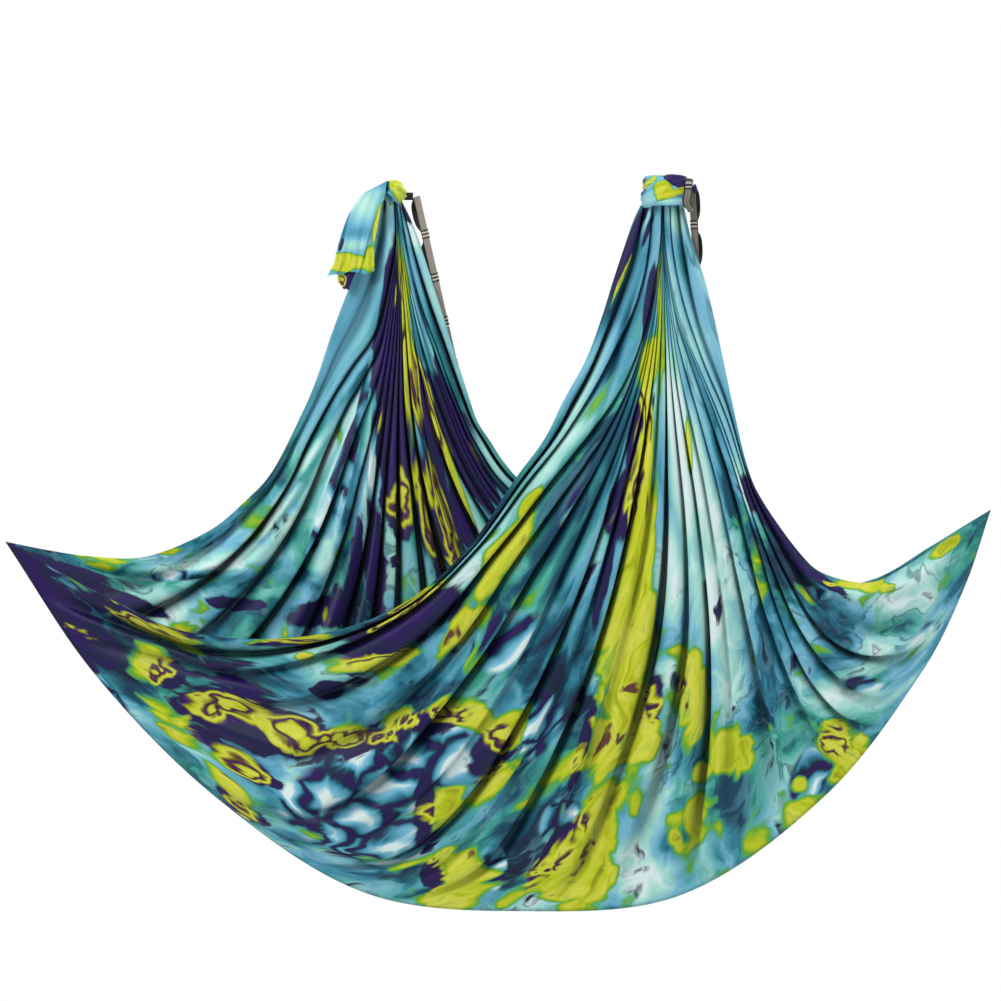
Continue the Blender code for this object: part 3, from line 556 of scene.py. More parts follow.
# Dye: places and half sizes in thousandths of the frame's side, turn in degrees, strength if it isn't 1
FRONT_DYE = dict(
    lime=((623, 274, 1.6, 24, -22), (658, 300, 2, 50, 0), (649, 372, 8, 30, -6, 1.5),
        (655, 400, 3, 80, -2), (638, 540, 13, 85, -4, 1.5), (626, 650, 26, 75, -6, 1.2),
        (628, 730, 28, 60, -6, 1.05), (600, 800, 26, 60, -16, 1.05), (572, 872, 30, 36, -36, 1.05),
        (647, 460, 5, 100, -2, 1.4), (686, 690, 18, 48, 4), (727, 752, 22, 24, 0), (700, 772, 12, 12, 0),
        (692, 815, 20, 24, 0), (676, 838, 8, 12, 0), (688, 445, 3, 30, 3, 1.1), (868, 585, 30, 4, -4),
        (945, 546, 24, 6, 32), (834, 742, 16, 20, 0), (858, 738, 10, 10, 0), (850, 762, 24, 8, 42),
        (804, 806, 20, 10, 38), (800, 784, 8, 8, 0), (507, 552, 52, 15, 50), (530, 500, 20, 8, 50),
        (462, 628, 34, 8, 40), (372, 662, 50, 5, 14), (410, 604, 50, 4, 34), (300, 637, 40, 4, 2, 0.8),
        (302, 656, 8, 4, 0), (150, 628, 44, 5, -24), (190, 648, 30, 4, -26), (150, 662, 26, 16, -30),
        (176, 722, 48, 16, -38, 0.42), (236, 714, 46, 20, -26), (284, 736, 30, 18, -10),
        (244, 764, 34, 12, -34), (226, 786, 36, 8, -44), (352, 736, 46, 10, 8), (420, 714, 40, 10, 16),
        (476, 714, 18, 14, -20), (506, 730, 26, 16, 60), (486, 790, 40, 14, 52), (446, 806, 26, 16, 50),
        (462, 868, 24, 22, 0), (440, 900, 20, 8, 0), (634, 806, 14, 40, -4, 0.62)),
    purple=((628, 250, 5, 44, -21), (647.5, 231, 3, 24, -20), (648, 292, 4, 34, -8),
        (638, 440, 10, 44, -7), (622, 505, 12, 34, -14), (603, 580, 5, 50, -12, 0.9),
        (581, 750, 5, 50, -14, 0.8), (556, 850, 10, 40, -40), (680, 683, 8, 14, 0, 0.5),
        (768, 512, 10, 40, 34), (810, 572, 40, 4, -34), (834, 740, 16, 16, 0, 0.6), (400, 628, 56, 18, 26),
        (290, 642, 40, 4, 2, 0.6), (328, 690, 12, 8, 0), (70, 618, 60, 22, -46), (40, 580, 46, 12, -54),
        (140, 616, 50, 8, -20), (168, 674, 16, 14, -30), (240, 716, 64, 30, -26, 0.8),
        (290, 738, 44, 26, -10, 0.8), (214, 742, 28, 6, -32, 0.9), (250, 768, 36, 12, -34, 0.7),
        (236, 804, 30, 6, -40, 0.7), (352, 742, 50, 12, 8, 0.74), (424, 722, 44, 12, 14, 0.74),
        (488, 752, 30, 16, 60, 0.8), (424, 800, 10, 40, 0, 0.7), (432, 874, 10, 14, 0),
        (653, 700, 10, 22, 0, 0.6), (625, 638, 6, 12, 0, 0.7)),
    pale=((644, 224, 1.8, 22, -22), (640, 290, 3, 40, -18, 0.6), (675, 222, 6, 14, 10, 1.2),
        (700, 340, 6, 40, 18, 0.5), (672, 350, 6, 60, 8), (675, 440, 14, 110, 3, 2.2),
        (670, 570, 14, 80, 2, 2), (700, 470, 14, 90, 12, 1.9), (728, 680, 22, 60, 16, 1.4),
        (706, 610, 16, 70, 10, 1.5), (648, 882, 36, 24, 0, 1.5), (640, 850, 28, 28, 0),
        (840, 700, 80, 14, 22), (930, 640, 40, 14, 60), (586, 370, 10, 50, -24), (560, 450, 10, 50, -32),
        (520, 560, 10, 70, -38), (488, 640, 40, 18, 50), (850, 596, 50, 7, -4), (930, 568, 40, 7, 30),
        (800, 766, 24, 40, -20), (130, 710, 60, 6, -48), (200, 742, 30, 14, -34), (375, 800, 70, 60, -4),
        (440, 750, 30, 28, 0), (310, 800, 30, 30, 0, 0.8), (490, 866, 12, 20, 0),
        (508, 640, 36, 22, 48, 0.9), (536, 720, 30, 22, 60, 0.9), (560, 820, 24, 16, 60, 0.8),
        (655, 800, 14, 60, -6, 1.2)),
    deep=((664.5, 232, 2.2, 18, 6, 0.8), (684, 262, 8, 14, 20, 0.4), (790, 566, 14, 46, 40),
        (860, 624, 60, 10, 0), (830, 672, 40, 10, -14), (735, 800, 22, 36, 0), (742, 850, 40, 18, 20),
        (690, 745, 12, 30, 0), (812, 780, 18, 34, -20, 0.8), (590, 460, 6, 90, -22), (566, 560, 8, 70, -28),
        (546, 640, 8, 70, -30), (614, 360, 4, 80, -16), (520, 790, 18, 80, -20), (505, 860, 16, 40, -24),
        (110, 650, 30, 12, -36), (250, 672, 60, 6, -16), (90, 680, 40, 10, -46), (375, 800, 74, 66, -4),
        (440, 750, 36, 34, 0), (310, 810, 40, 30, -30, 0.9), (508, 640, 40, 26, 48, 0.8),
        (536, 720, 36, 26, 60, 0.8), (556, 820, 30, 22, 60, 0.9)),
    calm=((653, 230, 5, 30, -21), (634, 288, 9, 40, -22), (604, 352, 11, 40, -30),
        (672, 245, 10, 36, 14), (692, 310, 14, 44, 18), (714, 372, 14, 44, 16), (730, 432, 10, 40, 14),
        (692, 520, 26, 130, 5, 0.5), (636, 806, 18, 40, -4, 0.5)))
BACK_DYE = dict(
    lime=((404.5, 300, 4, 60, 4), (411, 372, 6, 50, 8, 1.3), (400, 500, 12, 26, 0),
        (436, 430, 4, 60, 16), (452, 470, 5, 70, 20), (428, 520, 7, 54, 6), (446, 530, 7, 44, 14),
        (120, 552, 60, 4, 2, 0.7), (390, 200, 3, 5, 0)),
    purple=((388, 355, 12, 85, -3, 1.3), (392, 440, 14, 70, 3, 1.2), (404, 526, 10, 16, 0, 0.9),
        (426, 410, 12, 50, 14), (452, 420, 14, 46, 24), (474, 470, 12, 44, 28), (436, 500, 20, 70, 10, 0.8),
        (462, 520, 8, 40, 20), (355, 560, 6, 44, -6), (374, 560, 8, 50, 0), (322, 612, 30, 12, 12),
        (240, 604, 30, 5, -6, 0.9), (60, 568, 40, 6, -14), (100, 590, 60, 5, -22), (406.5, 212.5, 3, 9, 34)),
    pale=((420, 380, 6, 50, 12, 1.3), (408, 566, 12, 30, 0), (414, 330, 5, 60, 8, 0.7),
        (430, 330, 3, 60, 14, 0.7), (486, 450, 6, 40, 32), (468, 500, 6, 50, 22),
        (352, 450, 3, 90, -12, 1.3), (296, 474, 4, 60, -35, 1.6), (316, 474, 4, 70, -27, 1.6),
        (336, 466, 4, 80, -19, 1.6), (276, 510, 6, 40, -44, 1.4), (366, 500, 5, 100, -4),
        (230, 560, 70, 10, 10), (409, 233, 5, 13, 18)),
    deep=((356, 450, 5, 120, -9), (375, 430, 4, 120, -3), (330, 500, 6, 90, -20), (200, 580, 110, 8, 0),
        (390.5, 217, 4, 12, 0, 0.9), (402, 232, 2, 20, 14, 0.8)),
    calm=((335, 450, 20, 50, -20, 0.5), (378, 252, 10, 34, -22), (360, 305, 15, 40, -28),
        (333, 360, 12, 40, -28), (310, 410, 10, 40, -30), (414, 262, 7, 30, 18)))
COLOURS = ("lime", "purple", "pale", "deep", "calm")


def dye_zones(flat, dye):
    """Strength of each dye at world places (x, z)."""
    zones = np.zeros(flat.shape[:-1] + (len(COLOURS),))
    for channel, colour in enumerate(COLOURS):
        for x, z, long, wide, turn, *strength in dye.get(colour, ()):
            gap = (flat - place((x / 1000, z / 1000))) / FRAME_SIDE * 1000
            turn = math.radians(turn)
            along = gap[..., 0] * math.cos(turn) + gap[..., 1] * math.sin(turn)
            aside = -gap[..., 0] * math.sin(turn) + gap[..., 1] * math.cos(turn)
            far = smooth(0.1, 1.9, np.hypot(along / long, aside / wide))
            here = (strength[0] if strength else 1.0) * (1 - far)
            zones[..., channel] = np.maximum(zones[..., channel], here)
    return zones


def paint_zones(mesh, zones):
    zones = zones.reshape(-1, len(COLOURS))
    colours = mesh.color_attributes.new("zones", "FLOAT_COLOR", "POINT")
    colours.data.foreach_set("color", zones[:, :4].ravel())
    mesh.attributes.new("calm", "FLOAT", "POINT").data.foreach_set("value", zones[:, 4].copy())


# Soft folds: the line, its half width and its height in metres
FRONT_CREASES = (
    (marks(180, 639, 214, 660, 266, 681, 314, 687, 380, 672), 0.022, 0.013),
    (marks(185, 716, 243, 744, 295, 754, 352, 727, 410, 690), 0.026, 0.014),
    (marks(224, 788, 256, 809, 295, 823, 350, 826, 420, 796), 0.028, 0.012),
    (marks(790, 570, 815, 588, 856, 600, 900, 592, 931, 573, 973, 538), 0.02, 0.012),
    (marks(762, 560, 790, 596, 815, 630, 860, 633, 923, 596, 970, 545), 0.02, 0.013),
    (marks(797, 663, 823, 660, 856, 668, 890, 661, 940, 621), 0.02, 0.01),
    (marks(815, 680, 833, 688, 873, 676, 898, 663), 0.018, 0.009))
BACK_CREASES = (
    (marks(60, 556, 140, 575, 220, 570, 270, 530, 310, 470), 0.018, 0.008),)

# Share of the cloth in each band between two folds, the same on both halves
CLOTH_SHARES = np.array((9, 8, 9, 10, 12, 9, 11, 9, 8, 11, 10, 9, 12, 8, 10, 11, 9, 8, 11, 9, 10))
# Bands: width under the knot, width halfway down, sunk under the knot by mm, tilt, crease to its right
FRONT_BANDS = (
    (13, 3, 2, 0.2, 0.8), (11, 2, 5, 0.1, 0.8), (13, 16, 0, -0.16, 1), (0.1, 9, 11, 0, 0.35),
    (0.1, 8, 12, 0.1, 1), (0.1, 12, 11, 0, 0.30), (0.1, 11, 13, 0.2, 1), (0.1, 11, 11, 0, 0.25),
    (0.1, 11, 12, -0.2, 1),
    (0.1, 16, 13, 0, 0.20), (0.1, 17, 12, 0.1, 1), (0.1, 13, 13, 0, 0.5), (0.1, 12, 12, -0.1, 1),
    (0.1, 10, 12, 0, 0.30), (0.1, 10, 13, 0.1, 0.7), (0.1, 11, 11, 0, 0.25), (0.1, 11, 12, -0.2, 1),
    (0.1, 5, 8, 0, 0.6), (10, 6, 0, 0.15, 0.8), (8, 4, 1, 0, 0.15), (16, 4, 0, 0.1, 1))
BACK_BANDS = (
    (17, 4, 1, 0.1, 0.12), (23, 7, 0, 0.12, 1), (0.4, 12, 12, 0.1, 0.6), (0.4, 10, 10, -0.2, 1),
    (0.4, 9, 12, 0, 0.6), (0.4, 9, 8, 0.2, 1), (0.4, 7, 11, 0, 0.8), (0.4, 7, 7, -0.1, 1), (0.4, 9, 6, 0, 1),
    (0.4, 9, 5, 0.2, 1), (1.2, 14, 11, 0, 0.1), (1.2, 10, 7, 0, 1), (0.4, 8, 11, 0.1, 1),
    (0.6, 8, 4, -0.2, 1), (0.4, 5, 10, 0, 0.6), (0.8, 5, 3, 0.2, 1), (0.6, 5, 9, 0, 0.8),
    (4, 5, 0, -0.15, 1), (3, 4, 6, 0, 0.7), (6, 5, 1, 0.1, 0.8), (6, 4, 0, 0.1, 1))
# How far the inner pleats have opened out, down the cloth
FRONT_OPENING = ((0.05, 0.115, 0.18, 0.24, 0.30, 0.36, 0.44), (0, 0.28, 0.53, 0.72, 0.86, 0.95, 1))
BACK_OPENING = ((0.05, 0.11, 0.14, 0.18, 0.28, 0.36, 0.44), (0, 0.31, 0.40, 0.54, 0.82, 0.95, 1))
# How far the pleats lean, across the cloth
FRONT_LEAN = (0, -0.25, -0.5, -0.55, -0.5, -0.3, -0.1, 0.15, 0.4, 0.5, 0.5, 0.3, 0)
BACK_LEAN = (0, -0.3, -0.6, -0.55, -0.3, -0.1, 0, 0.1, 0.35, 0.5, 0.45, 0.25, 0)
FRONT_TOP, BACK_TOP = marks(639.5, 206, 681.5, 202), marks(381.5, 191.5, 401, 197.5)


def build_cloth():
    halves = []
    for eye, side, seed, dye, table, top_line, *shaping in (
            (RIGHT_EYE, -1, 11, FRONT_DYE, FRONT_RIBS, FRONT_TOP, FRONT_BANDS, FRONT_OPENING, FRONT_LEAN,
             FRONT_CREASES),
            (LEFT_EYE, 1, 37, BACK_DYE, BACK_RIBS, BACK_TOP, BACK_BANDS, BACK_OPENING, BACK_LEAN,
             BACK_CREASES)):
        points, s, rows, fold = half_cloth(table, eye, top_line, side, *shaping, seed)
        # the dye ran along the gathered cloth, so its marks are longer near the knots
        run = np.linspace(0, 1, 200)
        runs = np.cumsum(1 - 0.72 * smooth(0.30, 0.75, run)) / 200 * CLOTH_LENGTH / 2
        t = np.interp(1 - rows, run, runs)[:, None] * -side + 0 * s
        halves.append([points, s, t, dye_zones(points[..., ::2], dye), fold])
    near, far = halves
    # the halves meet in the lowest line, where the far dye runs into the near one
    beyond = smooth(0.0, 0.16, np.abs(far[2]) / CLOTH_LENGTH * 2)[..., None]
    far[3] = far[3] * beyond + near[3][-1] * (1 - beyond)
    points, s, t, zones, fold = (np.concatenate((a, b[-2::-1])) for a, b in zip(near, far))
    uv = np.stack((s, t), -1)
    cloth = mesh_object("hammock_cloth", points, grid_faces(*s.shape), dyed_tricot, "dye", uv)
    paint_zones(cloth.data, zones)
    # fold depth, for the painted shade in the folds
    cloth.data.attributes.new("fold", "FLOAT", "POINT").data.foreach_set("value", fold.ravel())
    return cloth


dyed_tricot = cloth_material("dyed_tricot")
cloth = build_cloth()
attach(cloth, "hammock")
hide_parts("front_sheet", "back_sheet")


def cloth_piece(name, points, s, t, dye, body, nodes, closed=False):
    """A grid of points made of the dyed cloth. s and t are metres on the cloth."""
    thing = mesh_object(name, points, grid_faces(*points.shape[:2], closed), dyed_tricot, "dye",
                        np.stack(np.broadcast_arrays(s, t), -1))
    paint_zones(thing.data, dye_zones(points[..., ::2], dye))
    return dress(thing, body, nodes)


BAND_THICKNESS = 0.0085


def add_wrap(name, eye, turns, rings, folds, fold_height, dye, nodes, seed, shift):
    """A band of cloth round a knot. turns rows: angle, then level, half height and reach in mm."""
    turns = np.array(turns)
    angle = np.linspace(turns[0, 0], turns[-1, 0], rings[0])
    level, half, reach = (levelled(np.interp(angle, turns[:, 0], column), 9)[:, None] / 1000
                          for column in turns.T[1:])
    a, v = np.radians(angle)[:, None], np.linspace(-1, 1, rings[1])[None]
    bulge = (1 - np.abs(v) ** 2.6) ** (1 / 2.2)
    phase = v * folds + 0.5 * lattice_noise(a * 1.6, 0 * v + 3.3, seed)
    ridge = np.abs(np.cos(math.pi * phase)) ** 0.7
    crease = lattice_noise(a * 2.2 + v * 1.1, v * 3.2, seed + 1)
    bulk = BAND_THICKNESS * bulge + fold_height * (ridge - 0.6) * (1 - v ** 8) + 0.0014 * crease
    r = reach - BAND_THICKNESS + bulk
    points = eye + np.stack((r * np.cos(a), r * np.sin(a), level + half * v), -1)
    return cloth_piece(name, points, a * 0.06 + shift, v * 0.07, dye, "hammock", nodes)


def add_cap(name, eye, radius, top, bottom, folds, dye, nodes, seed, taper):
    """Rounded gathered top of a knot, with folds that run over it."""
    share = np.linspace(0, 1, 34)[:, None]
    around = np.linspace(0, 2 * math.pi, 120, endpoint=False)[None]
    dome = np.minimum(share * 2, 1) * math.pi / 2
    r = radius * np.where(share < 0.5, np.sin(dome) ** 0.8, 1.0)
    fallen = np.where(share < 0.5, 0.42 * (1 - np.cos(dome)), 0.42 + 0.58 * (share - 0.5) * 2)
    z = top - (top - bottom) * fallen
    fold = np.abs(np.cos(around * folds / 2 + 1.2 * lattice_noise(share * 3, around * 0 + 2, seed))) ** 0.8
    lumps = lattice_noise(np.cos(around) * 2 + 5, np.sin(around) * 2 + 5 + share, seed + 1)
    r = r * (1 - 0.10 * (1 - fold) * np.sin(share * math.pi / 2)) * (1 + 0.05 * lumps)
    r = r * (1 - taper * smooth(0.55, 0.85, share))
    points = eye + np.stack((r * np.cos(around), r * np.sin(around), z + 0 * around), -1)
    return cloth_piece(name, points, 0.5 + share * 0.08, 0.4 + around * 0.03, dye, "hammock", nodes, True)


RIGHT_KNOT_DYE = dict(
    lime=((649, 182.5, 11.5, 3.2, 42, 1.9), (660.5, 188.5, 10, 12.5, -24, 1.8),
        (673, 194.5, 13, 3.6, 20, 1.9)),
    purple=((675.5, 181.5, 15, 6, -26, 2.3),),
    pale=((646, 201, 10, 9, 20, 0.7), (668, 203, 14, 2.5, 0, 0.8)),
    deep=((640.5, 186, 3.5, 9, 0, 2.4),),
    calm=((662, 190, 50, 40, 0, 1.2),))
LEFT_KNOT_DYE = dict(
    lime=((398.5, 189, 9, 16, 24, 1.9),),
    pale=((390.5, 182, 1.6, 5, 30, 0.8),),
    deep=((386.5, 184, 3.2, 8, -20, 2.2),),
    calm=((395, 190, 40, 40, 0, 1.2),))
RIGHT_WRAP = (
    (60, -10, 12, 44), (110, -20, 15, 50), (150, -21, 17, 55), (180, -22, 18, 56.5),
    (210, -19, 21, 56.5), (240, -8, 26, 56.5), (270, 3, 27.5, 56.5), (300, 8, 21, 56),
    (325, 10, 16, 52), (350, 11, 13, 44), (380, 8, 12, 42), (420, -10, 12, 44))
RIGHT_UNDER_WRAP = (
    (130, 10, 16, 46), (160, 11, 16, 51), (180, 11, 15, 53.5), (205, 13, 15, 53), (240, 16, 12, 50),
    (280, 16, 10, 45))
RIGHT_LOW_WRAP = (
    (225, -26, 10, 50), (250, -26, 10, 52), (280, -26, 10, 52.5), (310, -24.5, 9, 50),
    (336, -22, 8, 46), (352, -20, 6, 42))
LEFT_WRAP = (
    (-20, -4, 12, 26.5), (60, -3, 12, 27.5), (120, 2, 12, 28), (180, 6, 11, 27.5), (235, 9, 9, 27),
    (262, 6, 12, 28.5), (290, -1, 17, 29), (315, -5, 17, 28.8), (340, -4, 12, 26.5))
LEFT_CROSS = (
    (215, 10, 12, 27.5), (240, 6, 14, 28.5), (262, -2, 13, 28), (285, -14, 11, 25),
    (310, -22, 7, 22.5))
add_cap("right_knot_cloth", RIGHT_EYE, 0.0398, 0.0300, -0.0358, 9, RIGHT_KNOT_DYE, ("right_knot",), 21, 0.3)
add_wrap("right_knot_wrap", RIGHT_EYE, RIGHT_WRAP, (150, 34), 1.6, 0.0016, RIGHT_KNOT_DYE,
         ("right_knot_turn",), 31, 0.3)
add_wrap("right_knot_under_wrap", RIGHT_EYE, RIGHT_UNDER_WRAP, (70, 22), 1.2, 0.0012, RIGHT_KNOT_DYE,
         (), 41, 0.7)
add_wrap("right_knot_low_wrap", RIGHT_EYE, RIGHT_LOW_WRAP, (80, 20), 1.1, 0.0012, RIGHT_KNOT_DYE,
         ("right_knot_low_turn",), 51, 1.1)
add_cap("left_knot_cloth", LEFT_EYE, 0.0219, 0.0240, -0.0215, 7, LEFT_KNOT_DYE, ("left_knot",), 61, 0.7)
add_wrap("left_knot_wrap", LEFT_EYE, LEFT_WRAP, (140, 26), 1.3, 0.0012, LEFT_KNOT_DYE,
         ("left_knot_turn",), 71, 1.6)
add_wrap("left_knot_cross", LEFT_EYE, LEFT_CROSS, (50, 20), 1.2, 0.0010, LEFT_KNOT_DYE, (), 81, 2.1)

TAIL_DYE = dict(
    lime=((347, 260.5, 44, 11, 2, 1.7), (375.5, 228, 5, 28, -11, 1.8), (369, 254, 9, 20, -6, 1.7)),
    pale=((362, 203, 14, 16, -24, 1), (376, 192, 6, 8, 0, 0.7), (350, 244, 18, 6, 4, 0.9),
        (340, 276, 26, 1.4, -4, 1.4), (372.2, 268, 1, 4, 0, 1.5)),
    deep=((356, 231, 16, 6, 0, 0.35), (343, 232, 2, 22, -14, 1), (352, 272, 12, 1.2, 0, 0.8)),
    calm=((355, 230, 80, 80, 0, 1.1),))
LINING_DYE = dict(
    lime=((339.5, 278.5, 6.5, 8, 0, 1.9),),
    purple=((350, 284, 10, 14, 0, 2.4),),
    calm=((345, 280, 80, 80, 0, 1),))
TAIL_SIDES = (
    marks(363.8, 191, 355.7, 200.7, 347.8, 213.5, 341.5, 230, 336.2, 248, 333, 262, 325.8, 276),
    marks(386, 180, 384, 194.5, 380, 208, 377, 225, 373.8, 242, 373.4, 256, 373.8, 270))
FLAP_Y = LEFT_EYE[1] - 0.0305


def add_tail():
    """The cloth's free end: a folded flap whose frayed hem is cut across."""
    down = np.linspace(0, 1, 80)
    low, high = (even_points(curve_through(place(side)), down)[:, None] for side in TAIL_SIDES)
    share, fallen = np.linspace(0, 1, 110)[None], down[:, None]
    flat = low * (1 - share[..., None]) + high * share[..., None]
    open_up = smooth(0.0, 0.75, fallen)
    # soft folds, and a deep one where the second panel goes under the first
    fold = (0.5 - 0.5 * np.cos(2 * math.pi * (share * 3.0 + 0.10 * np.sin(fallen * 5) + 0.1))) ** 1.3
    under = np.interp(fallen, (0.0, 0.30, 0.45, 0.70, 1.0), (1.02, 1.0, 0.86, 0.79, 0.67))
    beyond = smooth(-0.010, 0.016, share - under)
    groove = np.exp(-((share - under - 0.012) / 0.022) ** 2)
    wrinkle = (0.002 * lattice_noise(share * 5, fallen * 4, 91)
               + 0.0016 * lattice_noise(share * 16, fallen * 3, 92))
    y = (FLAP_Y - (0.0008 + 0.0050 * open_up) * fold - 0.0060 * open_up * (1 - beyond) + 0.0022 * groove
         - wrinkle * open_up)
    y = np.minimum(y, FLAP_Y + 0.0003)
    hem = np.interp(share, (0, 0.22, 0.5, 0.66, 0.70, 0.88, 1),
                    (0.0004, 0.0010, 0.0026, 0.0002, -0.0018, -0.0016, 0.0))
    fray = (0.0014 * lattice_noise(share * 40, 0 * share + 2, 93)
            + 0.0010 * lattice_noise(share * 90, 0 * share + 5, 94))
    z = flat[..., 1] + (hem * FRAME_SIDE + fray) * smooth(0.72, 1, fallen)
    cloth_piece("left_knot_tail_cloth", np.stack((flat[..., 0], y, z), -1), 0.9 + share * 0.12,
                0.2 + fallen * 0.2, TAIL_DYE, "left_tail", ("left_knot_tail",))
    # the cloth turns over the top of the flap and goes back into the knot
    turn = np.linspace(0, 1, 30)[:, None]
    quarter = turn * math.pi / 2
    edge_x, edge_y, edge_z = flat[:1, :, 0], y[:1], z[:1]
    root = place((0.3915, 0.2000))
    gather = 0.0020 * np.sin(share * 22) * np.sin(turn * math.pi)
    root_x = edge_x + (root[0] + 0.004 * (share - 0.5) - edge_x) * turn
    root_y = edge_y + (LEFT_EYE[1] - 0.004 - edge_y) * np.sin(quarter)
    root_z = edge_z + (root[1] + 0.012 * (share - 0.5) - edge_z) * (1 - np.cos(quarter))
    root_z = root_z - 0.0012 + gather * turn
    bridge = cloth_piece("left_knot_tail_root", np.stack((root_x, root_y, root_z), -1), 0.9 + share * 0.12,
                         0.2 - turn * 0.03, TAIL_DYE, None, ())
    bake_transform(bridge)
    # a corner of the inner layer hangs out under the hem
    low, high = place(marks(337, 264, 358, 264)), place(marks(337, 282.5, 347.5, 290.5))
    rows, columns = np.linspace(0, 1, 24)[:, None], np.linspace(0, 1, 30)[None]
    top, foot = (side[0] * (1 - columns[..., None]) + side[1] * columns[..., None] for side in (low, high))
    flat = top * (1 - rows[..., None]) + foot * rows[..., None]
    y = FLAP_Y + 0.0004 - 0.0035 * (0.5 - 0.5 * np.cos(4 * math.pi * columns + 1)) * rows
    z = flat[..., 1] + 0.0026 * np.sin(columns * 9) * rows
    cloth_piece("left_knot_tail_lining", np.stack((flat[..., 0], y, z), -1), 1.3 + columns * 0.04,
                0.5 + rows * 0.05, LINING_DYE, "left_tail", ())


add_tail()

# Daisy-chain straps
WEBBING_WIDTH, WEBBING_THICKNESS = 0.016, 0.0018
SPINE_WIDTH, LOOP_THICKNESS = WEBBING_WIDTH - 0.0018, WEBBING_THICKNESS * 0.8
LOOP_PITCH, LOOP_BULGE, LOOP_LEAD, TACK_LENGTH = 0.094, 0.028, 0.0047, 0.020
CLEARANCE = 0.0003
TACK_GAP = WEBBING_THICKNESS + 2 * CLEARANCE
BAR_WIDTH, BAR_PITCH, BARS, STITCHES = 0.0142, 0.0076, 3, 9
STITCH_REACH, STITCH_LEAN, STITCH_RADIUS, STITCH_HEIGHT = 0.0024, 0.0006, 0.00105, 0.0006
LOOP_SHAPE = ((0.0, 0.0), (0.07, 0.42), (0.18, 0.78), (0.34, 0.97), (0.50, 1.0), (0.66, 0.97), (0.82, 0.78),
              (0.93, 0.42), (1.0, 0.0))


class StrapFrame:
    """Axes of a strap: down its length, across its width, and out of its plain face."""

    def __init__(self, top, turn, lean, tilt):
        turn, lean, tilt = map(math.radians, (turn, lean, tilt))
        level = np.array((math.cos(turn), math.sin(turn), 0))
        face = np.array((math.sin(turn), -math.cos(turn), 0))
        down = level * math.sin(lean) - UP * math.cos(lean)
        self.top = np.array(top)
        self.width = level * math.cos(lean) + UP * math.sin(lean)
        self.down = down * math.cos(tilt) - face * math.sin(tilt)
        self.face = face * math.cos(tilt) + down * math.sin(tilt)

    def at(self, along, out, across=0.0):
        along, out, across = (np.asarray(v, float)[..., None] for v in (along, out, across))
        return self.top + self.down * along + self.face * out + self.width * across


def webbing_material(name, thread, gap, stitched=None):
    """Woven nylon webbing: ribs along it crossed by picks. The UV map holds metres along and across."""
    mat, n = new_material(name)
    uv = n.add("UVMap", uv_map="weave").outputs["UV"]
    ribs, picks = n.wave(uv, "Y", 330.0, 0.6), n.wave(uv, "X", 264.0, 1.5)
    weave = n.product(n.maths("ADD", ribs, 0.25), n.maths("ADD", picks, 0.35))
    wear = n.noise(n.scaled(uv, (40.0, 160.0, 1.0)), 1.0, 3.0)
    colour = n.mix(n.step(0.05, 0.9, weave), gap, thread)
    colour = n.mix(n.product(n.step(0.45, 0.75, wear), 0.25), colour, gap)
    if stitched:
        # the stitching squeezes the webbing, which looks lighter between its bars
        within = n.maths("MODULO", n.add("SeparateXYZ", {"Vector": uv}).outputs["X"], LOOP_PITCH)
        end = LOOP_PITCH - TACK_GAP
        start = end - TACK_LENGTH
        here = n.product(n.step(start - 0.0004, start + 0.0006, within),
                         n.step(end + 0.0002, end - 0.0008, within))
        colour = n.mix(n.product(here, 0.85), colour, stitched)
    n.finish(colour, weave, 0.35, 0.0006, wear, 0.68, 0.9,
             **{"Sheen Weight": 0.15, "Specular IOR Level": 0.35})
    return mat


def thread_material(name, colour, dark):
    mat, n = new_material(name)
    uv = n.add("UVMap", uv_map="weave").outputs["UV"]
    twist = n.wave(uv, "DIAGONAL", 420.0, 0.5, 2.0)
    fibre = n.noise(uv, 1500.0)
    tone = n.mix(n.product(twist, n.maths("ADD", fibre, 0.3)), dark, colour)
    n.finish(tone, twist, 0.5, 0.0004, fibre, 0.5, 0.7)
    return mat


def ribbon(name, centre, way, out, width, thickness, material, body, nodes):
    """Flat webbing with rounded selvedges along a path. way is across it, out is off its face."""
    way, out = np.broadcast_to(way, centre.shape), np.broadcast_to(out, centre.shape)
    half, r = width / 2, thickness / 2
    right = [(half * 0.5, r), (half - r, r), (half - r * 0.3, r * 0.7), (half, 0),
             (half - r * 0.3, -r * 0.7), (half - r, -r), (half * 0.5, -r), (0, -r)]
    # the left side is the right one turned by half a circle
    section = [(-a, -b) for a, b in right] + right
    section = section[5:] + section[:5]
    points = np.stack([centre + way * a + out * b for a, b in section], 1)
    lengths, sides = running_length(centre), len(section)
    uv = np.stack((np.repeat(lengths, sides), np.tile([a for a, _ in section], len(centre))), -1)
    thing = mesh_object(name, points, tube_faces(len(centre), sides), material, "weave", uv)
    thing.data.set_sharp_from_angle(angle=math.radians(50))
    return dress(thing, body, nodes)


def path_normals(centre, way):
    along = np.gradient(centre, axis=0)
    along /= np.linalg.norm(along, axis=1)[:, None]
    out = np.cross(along, np.broadcast_to(way, centre.shape))
    return out / np.linalg.norm(out, axis=1)[:, None]


